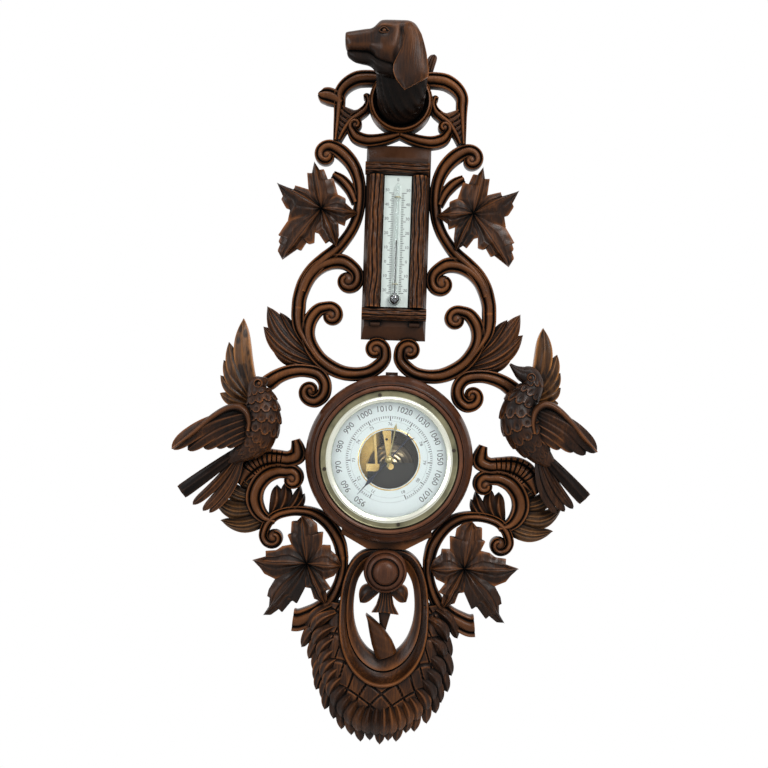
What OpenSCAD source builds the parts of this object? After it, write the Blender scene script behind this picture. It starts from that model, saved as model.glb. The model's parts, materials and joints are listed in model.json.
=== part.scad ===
// Carved wall barometer with a thermometer: hunting trophy carving round an open-dial aneroid.
// Every module draws in the plane of the dial: x to the right, y up, z out from the wall.
// stand() turns that drawing upright, with the hole of the hanging plate at the origin.

/* [Carcass] */
// Gap between the thermometer board and the neck ring above it
ring_gap = 12.8; // [10:0.2:16]
// Thickness of the fretted scrollwork
fret_t = 20; // [16:0.5:24]
// Thickness of the backing board behind the dial
backing_t = 8; // [6:0.5:10]
// Thickness of the block at the foot of the backing board
web_t = 18; // [14:0.5:20]
// Outer radius of the turned neck ring
ring_r = 34.2; // [32:0.2:37]
// Depth of the disc that closes the back of the neck ring
ring_disc_t = 14; // [13:0.5:18]
// Radius of the neck where it sits in the ring
neck_r = 24.5; // [20:0.5:25]
// Radius of the turned boss over the game bag
boss_r = 23.3; // [20:0.5:25]
// Height of the boss in front of the fretwork
boss_t = 22; // [16:0.5:28]
// Number of tufts in the fringe of the game bag
fringe_count = 25; // [15:2:31]

/* [Thermometer] */
// Width of the thermometer board
board_w = 69; // [66:0.5:72]
// Height of the thermometer board
board_h = 208; // [204:0.5:212]
// Thickness of the thermometer board
board_t = 22; // [18:0.5:26]
// Height of the foot of the thermometer board above the centre of the dial
board_foot = 126.5; // [125:0.5:128]
// Depth of the mitred slopes round the board
board_slope_t = 8; // [4:0.5:10]
// Length of the end slopes
board_slope_end = 14; // [8:0.5:15]
// Width of the side slopes
board_slope_side = 3; // [1.5:0.5:3.5]
// Width of each upright log
log_w = 17; // [14:0.5:18]
// Width of the two cross logs
cross_log_w = 15; // [12:0.5:16]
// How far the logs stand out of the board
log_t = 11; // [8:0.5:13]
// Length of the scale plate that shows between the cross logs
plate_h = 140; // [130:1:146]
// Thickness of the opal scale plate
plate_t = 3; // [2:0.2:4]
// Outer radius of the thermometer tube
tube_r = 2.5; // [2:0.1:3]
// Radius of the thermometer bulb
tube_bulb_r = 6.4; // [5.5:0.1:7]
// Height of the spirit column above the bulb
spirit_h = 62; // [20:1:95]

/* [Dial] */
// Outer radius of the turned wooden surround
surround_r = 89; // [88:0.2:90]
// Width of the wood that shows outside the flange
surround_w = 16.2; // [15:0.2:19]
// Width of the flange outside the movement's case
flange_w = 7; // [6:0.2:9]
// Width of the bezel in front of the glass
bezel_w = 5.6; // [5:0.1:8]
// Distance of the case rim, on which the glass lies, in front of the wall
rim_z = 40; // [38:0.5:44]
// Thickness of the glass
glass_t = 2.2; // [1.8:0.1:3]
// Wall of the movement's case
case_wall = 1; // [0.8:0.1:1.4]
// Radius of the dial's centre opening
dial_hole_r = 31; // [26:0.5:33]
// Thickness of the dial
dial_t = 0.8; // [0.5:0.1:1.2]
// Length of the pressure hand from its centre to its tip
hand_len = 49.9; // [44:0.1:54]
// Length of the set hand from its centre to its tip
set_hand_len = 38.9; // [34:0.1:44]
// Bearing of the pressure hand, clockwise from the top
hand_bearing = 220.6; // [215:0.1:225]
// Bearing of the set hand, clockwise from the top
set_bearing = 9.5; // [0:0.1:20]
// Radius of the set hand's knob
knob_r = 4; // [3.5:0.1:5]

/* [Movement] */
// Radius of the vacuum capsule
capsule_r = 24; // [21:0.5:25]
// Height of the vacuum capsule
capsule_t = 6.5; // [5:0.5:7]
// Width of the mainspring
spring_w = 49; // [40:1:50]
// Thickness of the mainspring's blade
spring_blade = 1.4; // [1:0.1:1.8]
// Radius of the hand arbor
arbor_r = 1; // [0.8:0.05:1.2]
// Radius of the drum that the chain winds on
drum_r = 1.3; // [1.25:0.05:1.5]
// Length of the rocker's chain arm
rocker_arm = 12; // [10:0.5:12.5]
// Radius of the adjusting screw's head
adjust_r = 2.5; // [2:0.1:3]

/* [Fastenings] */
// Radius of the hanging hole
hang_hole_r = 2.5; // [2:0.1:3]
// Thickness of the hanging plate
hang_plate_t = 1.5; // [1.2:0.1:2.5]
// Length of the hanging plate
hang_plate_l = 32; // [30:0.5:36]
// Radius of the flange screws' shanks
flange_screw_r = 1.2; // [1:0.1:1.5]

/* [Hidden] */
$fn = 64;
walnut = "#5a3520";
dark_walnut = "#3f2416";
brass = "#b08d4a";
steel = "#5b5f66";

// Seats and clearances
// Glue line between a carved edge and the turned or sawn edge beside it
glue = 0.05;
// Clearance of metal parts let into wood or into each other
let_in = 0.2;
// Running clearance of a shaft in its hole
running = 0.05;
// Clearance between parts that pass each other
pass = 0.4;

// The hanging hole is at the centre of the neck ring, over the thermometer board. What is drawn above
// stretch_y rises with the ring, so a taller board draws the side scrolls out.
board_top = board_foot + board_h;
hang_h = board_top + ring_gap + ring_r;
drawn_hang_h = 381.5;
stretch_y = 205;
function risen(y) = y > stretch_y ? y + hang_h - drawn_hang_h : y;

// The turned parts of the dial lie one inside the other
flange_r = surround_r - surround_w;
case_r = flange_r - flange_w;
sight_r = case_r - bezel_w;

// Where the carving was drawn from: an eye in front of the wall, level with a point above the dial.
// Work nearer the eye looks larger, so seen() brings each drawn point to its real place at its depth.
eye_d = 1300;
eye_h = 81.5;
fret_mid = 10;
flange_front = 46;
leaf_z = 28;
bird_z = 35;
head_z = 70;
bag_z = 18;
function shrink(z) = (eye_d - z) / (eye_d - fret_mid);
function drop(z) = eye_h * (shrink(flange_front) - shrink(z));
function seen(p, z) = [p.x * shrink(z), risen(p.y) * shrink(z) + drop(z)];

// A station of a carved strip is [x, y, width, back, front].
function station(p, z, lo, hi) = concat(seen(p, z), [p[2] * shrink(z), lo, hi]);
function stations(pts, z, lo, hi) = [for (p = pts) station(p, z, lo, hi)];
function spline(a, b, c, d, t) =
    0.5 * (2 * b + (c - a) * t + (2 * a - 5 * b + 4 * c - d) * pow(t, 2)
        + (3 * b - a - 3 * c + d) * pow(t, 3));
function smooth(s, n) = [
    for (i = [0 : len(s) - 2]) for (k = [0 : n - 1])
        spline(s[max(i - 1, 0)], s[i], s[i + 1], s[min(i + 2, len(s) - 1)], k / n),
    s[len(s) - 1]
];

// Cross sections: share of the half width, share of the depth
scroll_section = [[-0.75, 0], [-1, 0.4], [-0.5, 1], [0.5, 1], [1, 0.4], [0.75, 0]];
leaf_section = [[-1, 0], [-1, 0.35], [0, 1], [1, 0.35], [1, 0]];
rod_section = [[-0.6, 0], [-1, 0.45], [-0.6, 0.9], [0, 1], [0.6, 0.9], [1, 0.45], [0.6, 0]];
rim_section = [[-1, 0], [-1, 0.45], [-0.1, 0.7], [0.25, 1], [0.8, 0.95], [1, 0.6], [1, 0]];
round_section = [for (i = [0 : 11]) [sin(30 * i - 15), (1 + cos(30 * i - 15)) / 2]];
belly_section = [[-1, 0], [-1, 0.4], [-0.4, 0.85], [0.3, 1], [1, 0.85], [1, 0]];

function heading(s, i) =
    let (a = s[max(i - 1, 0)], b = s[min(i + 1, len(s) - 1)], d = [b.x - a.x, b.y - a.y]) d / norm(d);

// A strip of the given cross section swept along its stations
module strip(s, section) {
    n = len(section);
    m = len(s);
    points = [for (i = [0 : m - 1]) let (d = heading(s, i)) for (q = section)
        [s[i].x - d.y * q.x * s[i][2] / 2, s[i].y + d.x * q.x * s[i][2] / 2,
            s[i][3] + q.y * (s[i][4] - s[i][3])]];
    sides = [for (i = [0 : m - 2]) for (j = [0 : n - 1]) let (k = (j + 1) % n)
        each [[i * n + j, (i + 1) * n + k, (i + 1) * n + j], [i * n + j, i * n + k, (i + 1) * n + k]]];
    polyhedron(points, concat([[for (j = [n - 1 : -1 : 0]) j]], sides,
        [[for (j = [0 : n - 1]) (m - 1) * n + j]]),
        convexity = 8);
}

// A lofted form of elliptic rings [x, y, half width, half height, z]
module loft(rings, n = 12) {
    m = len(rings);
    points = [for (r = rings) for (j = [0 : n - 1]) [r.x + r[2] * cos(j * 360 / n),
        r.y + r[3] * sin(j * 360 / n), r[4]]];
    sides = [for (i = [0 : m - 2]) for (j = [0 : n - 1]) let (k = (j + 1) % n)
        each [[i * n + j, (i + 1) * n + j, (i + 1) * n + k], [i * n + j, (i + 1) * n + k, i * n + k]]];
    polyhedron(points, concat([[for (j = [0 : n - 1]) j]], sides,
        [[for (j = [n - 1 : -1 : 0]) (m - 1) * n + j]]),
        convexity = 6);
}

// The round end of a volute: a faceted button at b = [x, y, radius]
button_profile = [[0.75, 0.03], [1, 0.4], [0.85, 0.8], [0.45, 0.98]];
module volute_end(b) {
    c = seen(b, fret_mid);
    loft([for (q = button_profile) [c.x, c.y, b[2] * q[0], b[2] * q[0], fret_t * q[1]]], 10);
}

// A scroll of the fretwork: a strip with a volute at either end, or none where the volute is []
module scroll(start, pts, end, n = 2) {
    strip(smooth(stations(pts, fret_mid, 0, fret_t), n), scroll_section);
    for (b = [start, end])
        if (len(b) > 0)
            volute_end(b);
}

// A lobe of a leaf: [root, tip, greatest width, teeth on each side]. bend is a share of its length.
function lobe(l, z, lo, rise, bend = 0.06) =
    let (steps = 2 * l[3] + 2, v = l[1] - l[0])
    [for (i = [0 : steps]) let (t = i / steps, s = bend * sin(180 * t),
        w = l[2] * (0.12 + 0.88 * pow(sin(180 * pow(t, 0.75)), 0.8)) * (i % 2 == 0 ? 0.8 : 1.12),
        p = l[0] + v * t + [-v.y, v.x] * s)
        station([p.x, p.y, t == 1 ? 1 : max(w, 4)], z, lo,
            lo + rise * (0.45 + 0.75 * sin(180 * t) * (1 - 0.35 * t)))];
module leaf(lobes, z, lo, rise) {
    for (l = lobes)
        strip(lobe(l, z, lo, rise), leaf_section);
}
// A spray of narrow blades [root, tip, greatest width], each with a notch or two
blade_teeth = 1.5;
module spray(blades, lo, rise, bend) {
    for (b = blades)
        strip(lobe([b[0], b[1], b[2], blade_teeth], fret_mid, lo, rise, bend), leaf_section);
}

module stand() {
    translate([0, 0, -hang_h])
        rotate([90, 0, 0])
            children();
}
module mirrored(left) {
    mirror([left ? 1 : 0, 0, 0])
        children();
}
// Keeps the right-hand half of a carving that meets its twin on the centre line
module right_half() {
    difference() {
        children();
        translate([-100, -400, -1])
            cube([100, 900, 100]);
    }
}
module disc(r, z0, z1) {
    translate([0, 0, z0])
        cylinder(r = r, h = z1 - z0);
}
module block(x0, x1, y0, y1, z0, z1) {
    translate([x0, y0, z0])
        cube([x1 - x0, y1 - y0, z1 - z0]);
}

// Neck ring and hound's head
ring_profile_t = 26;
ring_inner_r = neck_r + let_in;
hang_plate_w = 14;
hang_screw_x = 11;
hang_screw_r = 1.5;
hang_pocket_r = 6;
hang_pocket_t = 8;
// A many-sided round that clears a turned piece of radius r, for sawing the fretwork up against it
seat_sides = 90;
module round_seat(r) {
    corner_r = r / cos(180 / seat_sides);
    translate([0, 0, -1])
        linear_extrude(61)
            polygon([for (i = [0 : seat_sides - 1]) let (a = 360 * (i + 0.5) / seat_sides)
                [corner_r * cos(a), corner_r * sin(a)]]);
}
module ring_seat(extra = 0) {
    translate([0, hang_h, 0])
        round_seat(ring_r + extra);
}
module neck_ring() {
    color(walnut) stand() translate([0, hang_h, 0]) difference() {
        rotate_extrude()
            polygon([[0, 0], [ring_r - 2, 0], [ring_r, 3], [ring_r, ring_profile_t - 9],
                [ring_r - 2, ring_profile_t - 4], [ring_r - 4, ring_profile_t],
                [ring_inner_r + 2, ring_profile_t], [ring_inner_r, ring_profile_t - 3],
                [ring_inner_r, ring_disc_t], [0, ring_disc_t]]);
        block(-hang_plate_l / 2 - let_in, hang_plate_l / 2 + let_in, -hang_plate_w / 2 - let_in,
            hang_plate_w / 2 + let_in, -1, hang_plate_t);
        disc(hang_pocket_r, -1, hang_pocket_t + hang_plate_t);
        for (side = [-1, 1])
            translate([side * hang_screw_x, 0, 0])
                disc(hang_screw_r + running, -1, ring_disc_t - 1.5);
    }
}
module hanging_plate() {
    color(brass) stand() translate([0, hang_h, 0]) difference() {
        block(-hang_plate_l / 2, hang_plate_l / 2, -hang_plate_w / 2, hang_plate_w / 2, 0,
            hang_plate_t);
        disc(hang_hole_r, -1, hang_plate_t + 1);
        for (side = [-1, 1])
            translate([side * hang_screw_x, 0, 0])
                disc(hang_screw_r + running, -1, hang_plate_t + 1);
    }
}
module hanging_screws() {
    color(brass) stand() for (side = [-1, 1])
        translate([side * hang_screw_x, hang_h, 0])
            disc(hang_screw_r, 0, ring_disc_t - 2);
}

head_path = [[29, 436, 14, 55, 85], [22, 444, 34, 48, 92], [11, 448, 46, 46, 94], [-2, 449, 47, 46, 94],
    [-13, 447, 50, 47, 93], [-23, 446, 46, 50, 90], [-31, 443, 39, 54, 86], [-42, 443, 35, 56, 84],
    [-52, 443, 31, 57, 83], [-58, 445, 24, 58, 82], [-62, 448, 12, 62, 78]];
near_ear = [[12, 465, 26, 86, 93], [11, 452, 29, 88, 95], [10, 438, 34, 89, 96], [9, 424, 37, 89, 97],
    [9, 413, 32, 88, 95], [7, 405, 17, 87, 93], [4, 400, 4, 87, 90]];
neck_rings = [[0, 0, 0, 0, 0], [0, 0.5, -0.7, -0.7, 9], [0, 1.6, -0.7, -0.7, 12], [1, 8, -3, 0, 22],
    [3, 21, -5, 1, 36], [4, 33, -6, 0, 50], [4, 42, -10, -8, 64]];
module drawn_head(pts) {
    strip([for (p = pts) station(p, head_z, p[3], p[4])], round_section);
}
module ear(z_shift) {
    drawn_head([for (p = near_ear) [p.x, p.y, p[2], p[3] + z_shift, p[4] + z_shift]]);
}
module dog_head() {
    color(dark_walnut) stand() {
        drawn_head(head_path);
        ear(0);
        ear(-43);
        loft([for (r = neck_rings) [r.x, hang_h + r.y, neck_r + r[2], neck_r + r[3],
            ring_disc_t + r[4]]], 16);
    }
}

// Crest scrolls between the neck ring, the thermometer board and the side scrolls
crest_scroll = [[26, 408, 14], [42, 408.5, 14], [54, 403.5, 14], [62.5, 394, 13], [64.5, 383, 13],
    [61, 372, 18]];
crest_hook = [[33, 376, 12], [41, 370, 10], [50, 366.5, 11], [58, 368, 14], [61, 374, 14]];
crest_stem = [[60, 376, 17], [61, 364, 17], [64, 352, 12], [66.5, 340.6, 8]];
crest_wedge = [[45, 364, 6], [52, 358, 9], [58, 350, 8], [63, 343, 7]];
crest_foot = [[-2, 347.5, 9], [14, 343.5, 10], [28, 341, 12], [40, 343.5, 13], [47.5, 351, 12]];
crest_foot_bulb = [46, 358.5, 6.5];
crest_horn = [[-64, 384, 12], [-76, 386.5, 10], [-85, 391, 7], [-89, 397, 3]];
crest_tuft = [[26, 410, 8], [28, 420, 9], [31, 430, 7], [33, 438, 3]];
module crest() {
    difference() {
        right_half() {
            scroll([], crest_scroll, []);
            scroll([], crest_hook, []);
            scroll([], crest_stem, [], 1);
            scroll([], crest_wedge, [], 1);
            scroll([], crest_foot, crest_foot_bulb);
        }
        ring_seat(glue);
        board_seat(glue);
    }
}
module crest_left() {
    color(walnut) stand() {
        mirrored(true)
            crest();
        strip(stations(crest_horn, fret_mid, 0, fret_t), rod_section);
    }
}
module crest_right() {
    color(walnut) stand() {
        crest();
        strip(stations(crest_tuft, fret_mid, 6, 16), leaf_section);
    }
}

// A stem carved in two pieces is sawn level at its seam. This block covers the far side of the cut.
seam_w = 24;
module seam_block(at, depth, gap) {
    c = seen(at, fret_mid);
    block(c.x - seam_w / 2, c.x + seam_w / 2, c.y + min(depth, gap), c.y + max(depth, gap), -1, 60);
}

// Side scrolls: the long stem beside the thermometer, its inner curl and the stalk of the leaf
seam = [102.4, 160, 14];
stem_bulb = [78, 323.5, 9];
stem = [[72, 332.5, 14], [62, 328, 15], [52.5, 319.5, 14.5], [46, 309, 13.5], [42, 297, 12.5],
    [40.5, 284, 11.8], [41, 270, 11.5], [43.5, 257, 11], [49, 244, 11], [57, 232, 11.5], [66, 222, 13],
    [77, 212.5, 14], [88, 201, 15], [96.5, 187, 15], [101.5, 171, 14], seam, [102.5, 156, 14]];
leaf_stalk = [[70, 304, 8], [60, 298, 11], [51, 288, 11], [45, 275, 9]];
curl = [[98, 178, 11], [92, 193, 13], [82, 204, 14], [69, 210.5, 15], [56, 211, 15], [45.5, 206, 14],
    [41.5, 196, 11], [44, 187, 12]];
curl_bulb = [51.5, 186, 9];
module board_seat(extra = 0) {
    block(-board_w / 2 - extra, board_w / 2 + extra, board_foot - extra, board_top + extra, -1, 60);
}
module side_scroll() {
    difference() {
        union() {
            scroll(stem_bulb, stem, []);
            scroll([], leaf_stalk, [], 1);
            scroll([], curl, curl_bulb);
        }
        board_seat(glue);
        seam_block(seam, -30, glue);
    }
}
module side_scroll_left() {
    color(walnut) stand() mirrored(true) side_scroll();
}
module side_scroll_right() {
    color(walnut) stand() side_scroll();
}

// Cradle scrolls: the foot of the stem, the great scroll over the dial, the spray and the bird's scroll
stem_foot = [[102.3, 164, 14], seam, [102.5, 150, 13.5], [100.5, 138, 12], [94, 126, 10], [86, 114, 8],
    [78, 104, 6]];
cradle_bulb = [67, 152.5, 10];
cradle = [[71.5, 163, 11], [81, 158.5, 13], [88.5, 149, 14], [91.5, 138, 14], [90.5, 127, 14],
    [85.5, 116, 14.5], [77, 105.5, 14.5], [65, 97, 15], [52, 92, 14.5], [38, 91, 14], [25, 93.5, 14],
    [15, 100, 14], [8.3, 109, 13.5], [7.6, 118, 12.5], [12.8, 125.5, 11.5]];
cradle_end_bulb = [20, 118, 9.5];
bird_scroll = [[89, 67, 12], [80, 60.5, 14], [71.5, 70, 13], [72, 82, 13], [80, 90, 13.5], [94, 93, 13],
    [108, 91.5, 14], [122, 86, 14], [132, 78, 13], [139, 71, 8]];
bird_scroll_bulb = [85, 73, 7];
acanthus = [[[84, 108], [122.5, 155], 17], [[82, 104], [136.5, 161], 22], [[80, 101], [140, 139], 20],
    [[80, 99], [131, 119.5], 17], [[82, 97], [117.5, 106], 14]];
module surround_seat(extra = 0) {
    round_seat(surround_r + extra);
}
module cradle_scroll() {
    difference() {
        union() {
            scroll([], stem_foot, []);
            scroll(cradle_bulb, cradle, cradle_end_bulb);
            scroll(bird_scroll_bulb, bird_scroll, []);
            spray(acanthus, 1, 15, -0.1);
        }
        board_seat(glue);
        surround_seat(glue);
        seam_block(seam, 30, 0);
        block(0, backing_tab_w / 2 + glue, 0, backing_tab_y + glue, -1, 60);
    }
}
module cradle_scroll_left() {
    color(walnut) stand() mirrored(true) cradle_scroll();
}
module cradle_scroll_right() {
    color(walnut) stand() cradle_scroll();
}

// Perches: the bough under each bird, the ring scroll below it, two sprays and the lower scroll's arch
perch_bough = [[99.5, 19, 9], [98, 10, 14], [98.5, 2, 19], [108, -2, 15], [120, -1.5, 15],
    [134, -2, 17], [146, -7, 19], [154, -17, 15], [158, -30, 5]];
perch_ring_bulb = [101.5, -23.5, 8];
perch_ring = [[107, -17, 14], [120, -16.5, 16], [132, -21.5, 17], [140.5, -33, 17], [143, -46, 17],
    [139, -58, 15], [131, -66, 11], [120, -69, 7]];
inner_spray = [[[112, -64], [112, -28], 26], [[106, -62], [93, -31], 15], [[100, -60], [89, -39], 11]];
outer_spray = [[[142, -64], [179, -20], 22], [[144, -60], [186, -42], 24],
    [[138, -70], [179, -69], 17]];
arch_seam = [46.5, -106, 12];
arch_bulb = [122.5, -89.5, 10];
arch = [[131, -84, 9], [128, -74, 9], [119, -65, 10], [107, -60, 10], [94, -58, 10], [80, -59.5, 11],
    [66.5, -66.5, 13], [56.5, -78, 13], [49.5, -92, 13], arch_seam, [46, -112, 12]];
module perch() {
    difference() {
        union() {
            scroll([], perch_bough, []);
            scroll(perch_ring_bulb, perch_ring, []);
            scroll(arch_bulb, arch, []);
            spray(inner_spray, 2, 14, 0.12);
            spray(outer_spray, 1, 15, 0.1);
        }
        surround_seat(glue);
        seam_block(arch_seam, -30, glue);
    }
}
module perch_left() {
    color(walnut) stand() mirrored(true) perch();
}
module perch_right() {
    color(walnut) stand() perch();
}

// Lower scrolls: the sawn-off stems that carry the lower vine leaves down to the game bag
lower_stem = [[47.2, -100, 12], arch_seam, [46.5, -122, 11], [50.5, -138, 12], [58, -152, 14],
    [70, -164, 18], [85, -172, 22], [98, -176, 24]];
module lower_scroll() {
    difference() {
        scroll([], lower_stem, [], 1);
        seam_block(arch_seam, 30, 0);
    }
}
module lower_scroll_left() {
    color(walnut) stand() mirrored(true) lower_scroll();
}
module lower_scroll_right() {
    color(walnut) stand() lower_scroll();
}

// Vine leaves, each of five toothed lobes round a sunk centre
upper_leaf = [[[82, 268], [91, 319], 30, 2], [[82, 268], [43.5, 264.6], 27, 2],
    [[83, 268], [68, 227.5], 23, 2], [[83, 268], [124, 213], 34, 2], [[83, 268], [131.5, 294.2], 27, 2]];
lower_leaf = [[[86, -114.4], [90, -63.5], 34, 2], [[86, -114.4], [49.5, -106], 27, 2],
    [[86, -114.4], [63.5, -157], 25, 2], [[87, -114.4], [127, -172], 34, 2],
    [[87, -114.4], [143.5, -114], 28, 2]];
leaf_rise = 12;
module vine_leaf(lobes) {
    leaf(lobes, leaf_z, fret_t, leaf_rise);
}
module vine_leaf_upper_left() {
    color(dark_walnut) stand() mirrored(true) vine_leaf(upper_leaf);
}
module vine_leaf_upper_right() {
    color(dark_walnut) stand() vine_leaf(upper_leaf);
}
module vine_leaf_lower_left() {
    color(dark_walnut) stand() mirrored(true) vine_leaf(lower_leaf);
}
module vine_leaf_lower_right() {
    color(dark_walnut) stand() vine_leaf(lower_leaf);
}

// Birds: a rounded body on the boughs, the near wing and the tail, with the far wing raised behind
left_body = [[-131, 84, 5, 30, 38], [-139, 80, 18, 22, 46], [-142, 74, 24, 20, 50],
    [-140, 65, 26, 20, 50], [-137, 54, 36, 20, 54], [-136, 42, 38, 20, 56], [-137, 30, 38, 20, 56],
    [-142, 18, 34, 20, 54], [-150, 9, 27, 20, 48], [-161, 2, 18, 20, 40], [-174, -6, 10, 20, 32]];
right_body = [[127, 108, 3, 32, 37], [133, 103, 9, 30, 41], [140, 98, 16, 26, 46],
    [149, 93, 23, 21, 50], [149, 83, 22, 20, 50], [143, 74, 27, 20, 50], [139, 64, 35, 20, 54],
    [138, 52, 41, 20, 56], [142, 40, 42, 20, 56], [148, 29, 38, 20, 54], [157, 19, 31, 20, 48],
    [167, 9, 20, 20, 40], [178, 0, 10, 20, 32]];
left_near_wing = [[[-150, 44], [-233, 4.6], 15], [[-152, 38], [-217, 3.6], 14],
    [[-153, 32], [-200, 6], 13], [[-153, 27], [-187, 8], 12]];
right_near_wing = [[[157, 58], [221, 15], 16], [[158, 52], [211, 13], 15], [[160, 46], [198, 16], 14],
    [[160, 40], [184.5, 19], 12]];
left_tail = [[[-163, 6], [-222, -42], 17], [[-166, 0], [-208, -55], 13], [[-168, -4], [-196, -65], 13]];
right_tail = [[[170, 8], [214, -36], 16], [[170, 3], [200, -47], 13], [[170, -1], [183, -53], 13]];
left_raised_wing = [[[-148, 62], [-161, 147], 18], [[-149, 60], [-176, 121], 15],
    [[-150, 58], [-180, 101], 14], [[-151, 56], [-183.4, 85], 13], [[-151, 53], [-184, 66], 12]];
right_raised_wing = [[[152, 76], [161, 147], 18], [[154, 74], [177, 119], 15],
    [[156, 72], [180, 98.5], 14], [[157, 68], [181.5, 83], 13], [[158, 64], [180, 69], 12]];
feather_steps = [[0, 0.6], [0.3, 0.95], [0.7, 1], [0.92, 0.8], [1, 0.3]];
module feather(f, z, lo, hi) {
    strip([for (q = feather_steps) let (p = f[0] + (f[1] - f[0]) * q[0])
        station([p.x, p.y, f[2] * q[1]], z, lo, lo + (hi - lo) * (1 - 0.5 * q[0]))], leaf_section);
}
module bird(body, wing, tail) {
    strip([for (p = body) station(p, bird_z, p[3], p[4])], body_section);
    for (f = wing)
        feather(f, bird_z, 32, 50);
    for (f = tail)
        feather(f, bird_z, fret_t, 34);
}
body_section = [[-0.55, 0], [-0.95, 0.25], [-0.95, 0.6], [-0.6, 0.9], [0, 1], [0.6, 0.9], [0.95, 0.6],
    [0.95, 0.25], [0.55, 0]];
module raised_wing(feathers) {
    for (f = feathers)
        feather(f, fret_mid, 6, fret_t);
}
module bird_left() {
    color(dark_walnut) stand() bird(left_body, left_near_wing, left_tail);
}
module bird_right() {
    color(dark_walnut) stand() bird(right_body, right_near_wing, right_tail);
}
module raised_wing_left() {
    color(walnut) stand() raised_wing(left_raised_wing);
}
module raised_wing_right() {
    color(walnut) stand() raised_wing(right_raised_wing);
}

// Thermometer
board_face = board_t - board_slope_t;
log_x = 23;
cross_log_y = board_foot + 27;
log_foot = cross_log_y + cross_log_w / 2;
log_head = log_foot + plate_h;
module thermometer_board() {
    color(walnut) stand() intersection() {
        translate([-board_w / 2, 0, 0])
            rotate([90, 0, 90])
                linear_extrude(board_w)
                    polygon([[board_foot, 0], [board_top, 0], [board_top, board_face],
                        [board_top - board_slope_end, board_t],
                        [board_foot + board_slope_end, board_t], [board_foot, board_face]]);
        translate([0, board_top, 0])
            rotate([90, 0, 0])
                linear_extrude(board_h)
                    polygon([[-board_w / 2, 0], [board_w / 2, 0], [board_w / 2, board_face],
                        [board_w / 2 - board_slope_side, board_t],
                        [-board_w / 2 + board_slope_side, board_t], [-board_w / 2, board_face]]);
    }
}
// Half log with furrowed bark, lying along x from x0 to x1
bark = [0.93, 1, 0.9, 1.02, 0.95, 1.06, 0.94, 1.03, 0.9, 1, 0.93];
module half_log(x0, x1, w) {
    steps = len(bark) - 1;
    translate([x0, 0, board_t])
        rotate([90, 0, 90])
            linear_extrude(x1 - x0)
                polygon([for (i = [0 : steps]) let (a = 180 * i / steps)
                    [w / 2 * cos(a), log_t * sin(a) * bark[i]]]);
}
module upright_log(x) {
    translate([x, 0, 0])
        rotate([0, 0, 90])
            half_log(log_foot, log_head, log_w);
}
module log_top() {
    color(dark_walnut) stand() translate([0, log_head + cross_log_w / 2, 0])
        half_log(-board_w / 2 - 1, board_w / 2 - 2, cross_log_w);
}
module log_bottom() {
    color(dark_walnut) stand() translate([0, cross_log_y, 0])
        half_log(-board_w / 2, board_w / 2, cross_log_w);
}
module log_left() {
    color(walnut) stand() upright_log(-log_x);
}
module log_right() {
    color(walnut) stand() upright_log(log_x);
}
// Two short ends of bark that show below the lower cross log
stub_w = 6;
stub_spans = [[-24.6, -14.7], [16.7, 27.5]];
module log_stubs() {
    color(dark_walnut) stand() for (x = stub_spans)
        translate([x[0], cross_log_y - cross_log_w / 2 - stub_w / 2 - glue, board_t])
            rotate([90, 0, 90])
                linear_extrude(x[1] - x[0])
                    polygon([for (a = [0 : 20 : 180]) [stub_w / 2 * cos(a), stub_w * sin(a)]]);
}
plate_w = 2 * log_x - log_w - 2 * let_in;
bulb_y = log_foot + tube_bulb_r + 2.4;
tube_top = log_head - 11.5;
tube_z = board_t + tube_bulb_r + 0.3;
module scale_plate() {
    color("#e8efe6") stand() difference() {
        block(-plate_w / 2, plate_w / 2, log_foot + let_in, log_head - let_in, board_t,
            board_t + plate_t);
        translate([0, bulb_y, 0])
            disc(tube_bulb_r + let_in, board_t - 1, board_t + plate_t + 1);
    }
}
spirit_r = 0.7;
glass_wall = 0.9;
module tube_shape(r, ball_r, top) {
    translate([0, bulb_y, tube_z]) {
        sphere(r = ball_r);
        rotate([-90, 0, 0])
            cylinder(r = r, h = top - bulb_y);
    }
}
module thermometer_tube() {
    color("#cfe6ea", 0.5) stand() difference() {
        union() {
            tube_shape(tube_r, tube_bulb_r, tube_top);
            translate([0, tube_top, tube_z])
                sphere(r = tube_r);
        }
        tube_shape(spirit_r, tube_bulb_r - glass_wall, tube_top - 2);
    }
}
module spirit_column() {
    color("#101828") stand()
        tube_shape(spirit_r - running, tube_bulb_r - glass_wall - running, bulb_y + spirit_h);
}
clip_wire_r = 0.45;
module tube_clips() {
    color(brass) stand() for (y = [bulb_y + 15.5, tube_top - 12])
        translate([0, y, 0]) {
            r = tube_r + clip_wire_r + running;
            translate([0, 0, tube_z])
                rotate([90, 0, 0])
                    rotate_extrude(angle = 180)
                        translate([r, 0])
                            circle(clip_wire_r, $fn = 16);
            for (side = [-1, 1])
                translate([side * r, 0, 0])
                    disc(clip_wire_r, board_t + plate_t, tube_z);
        }
}

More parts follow.
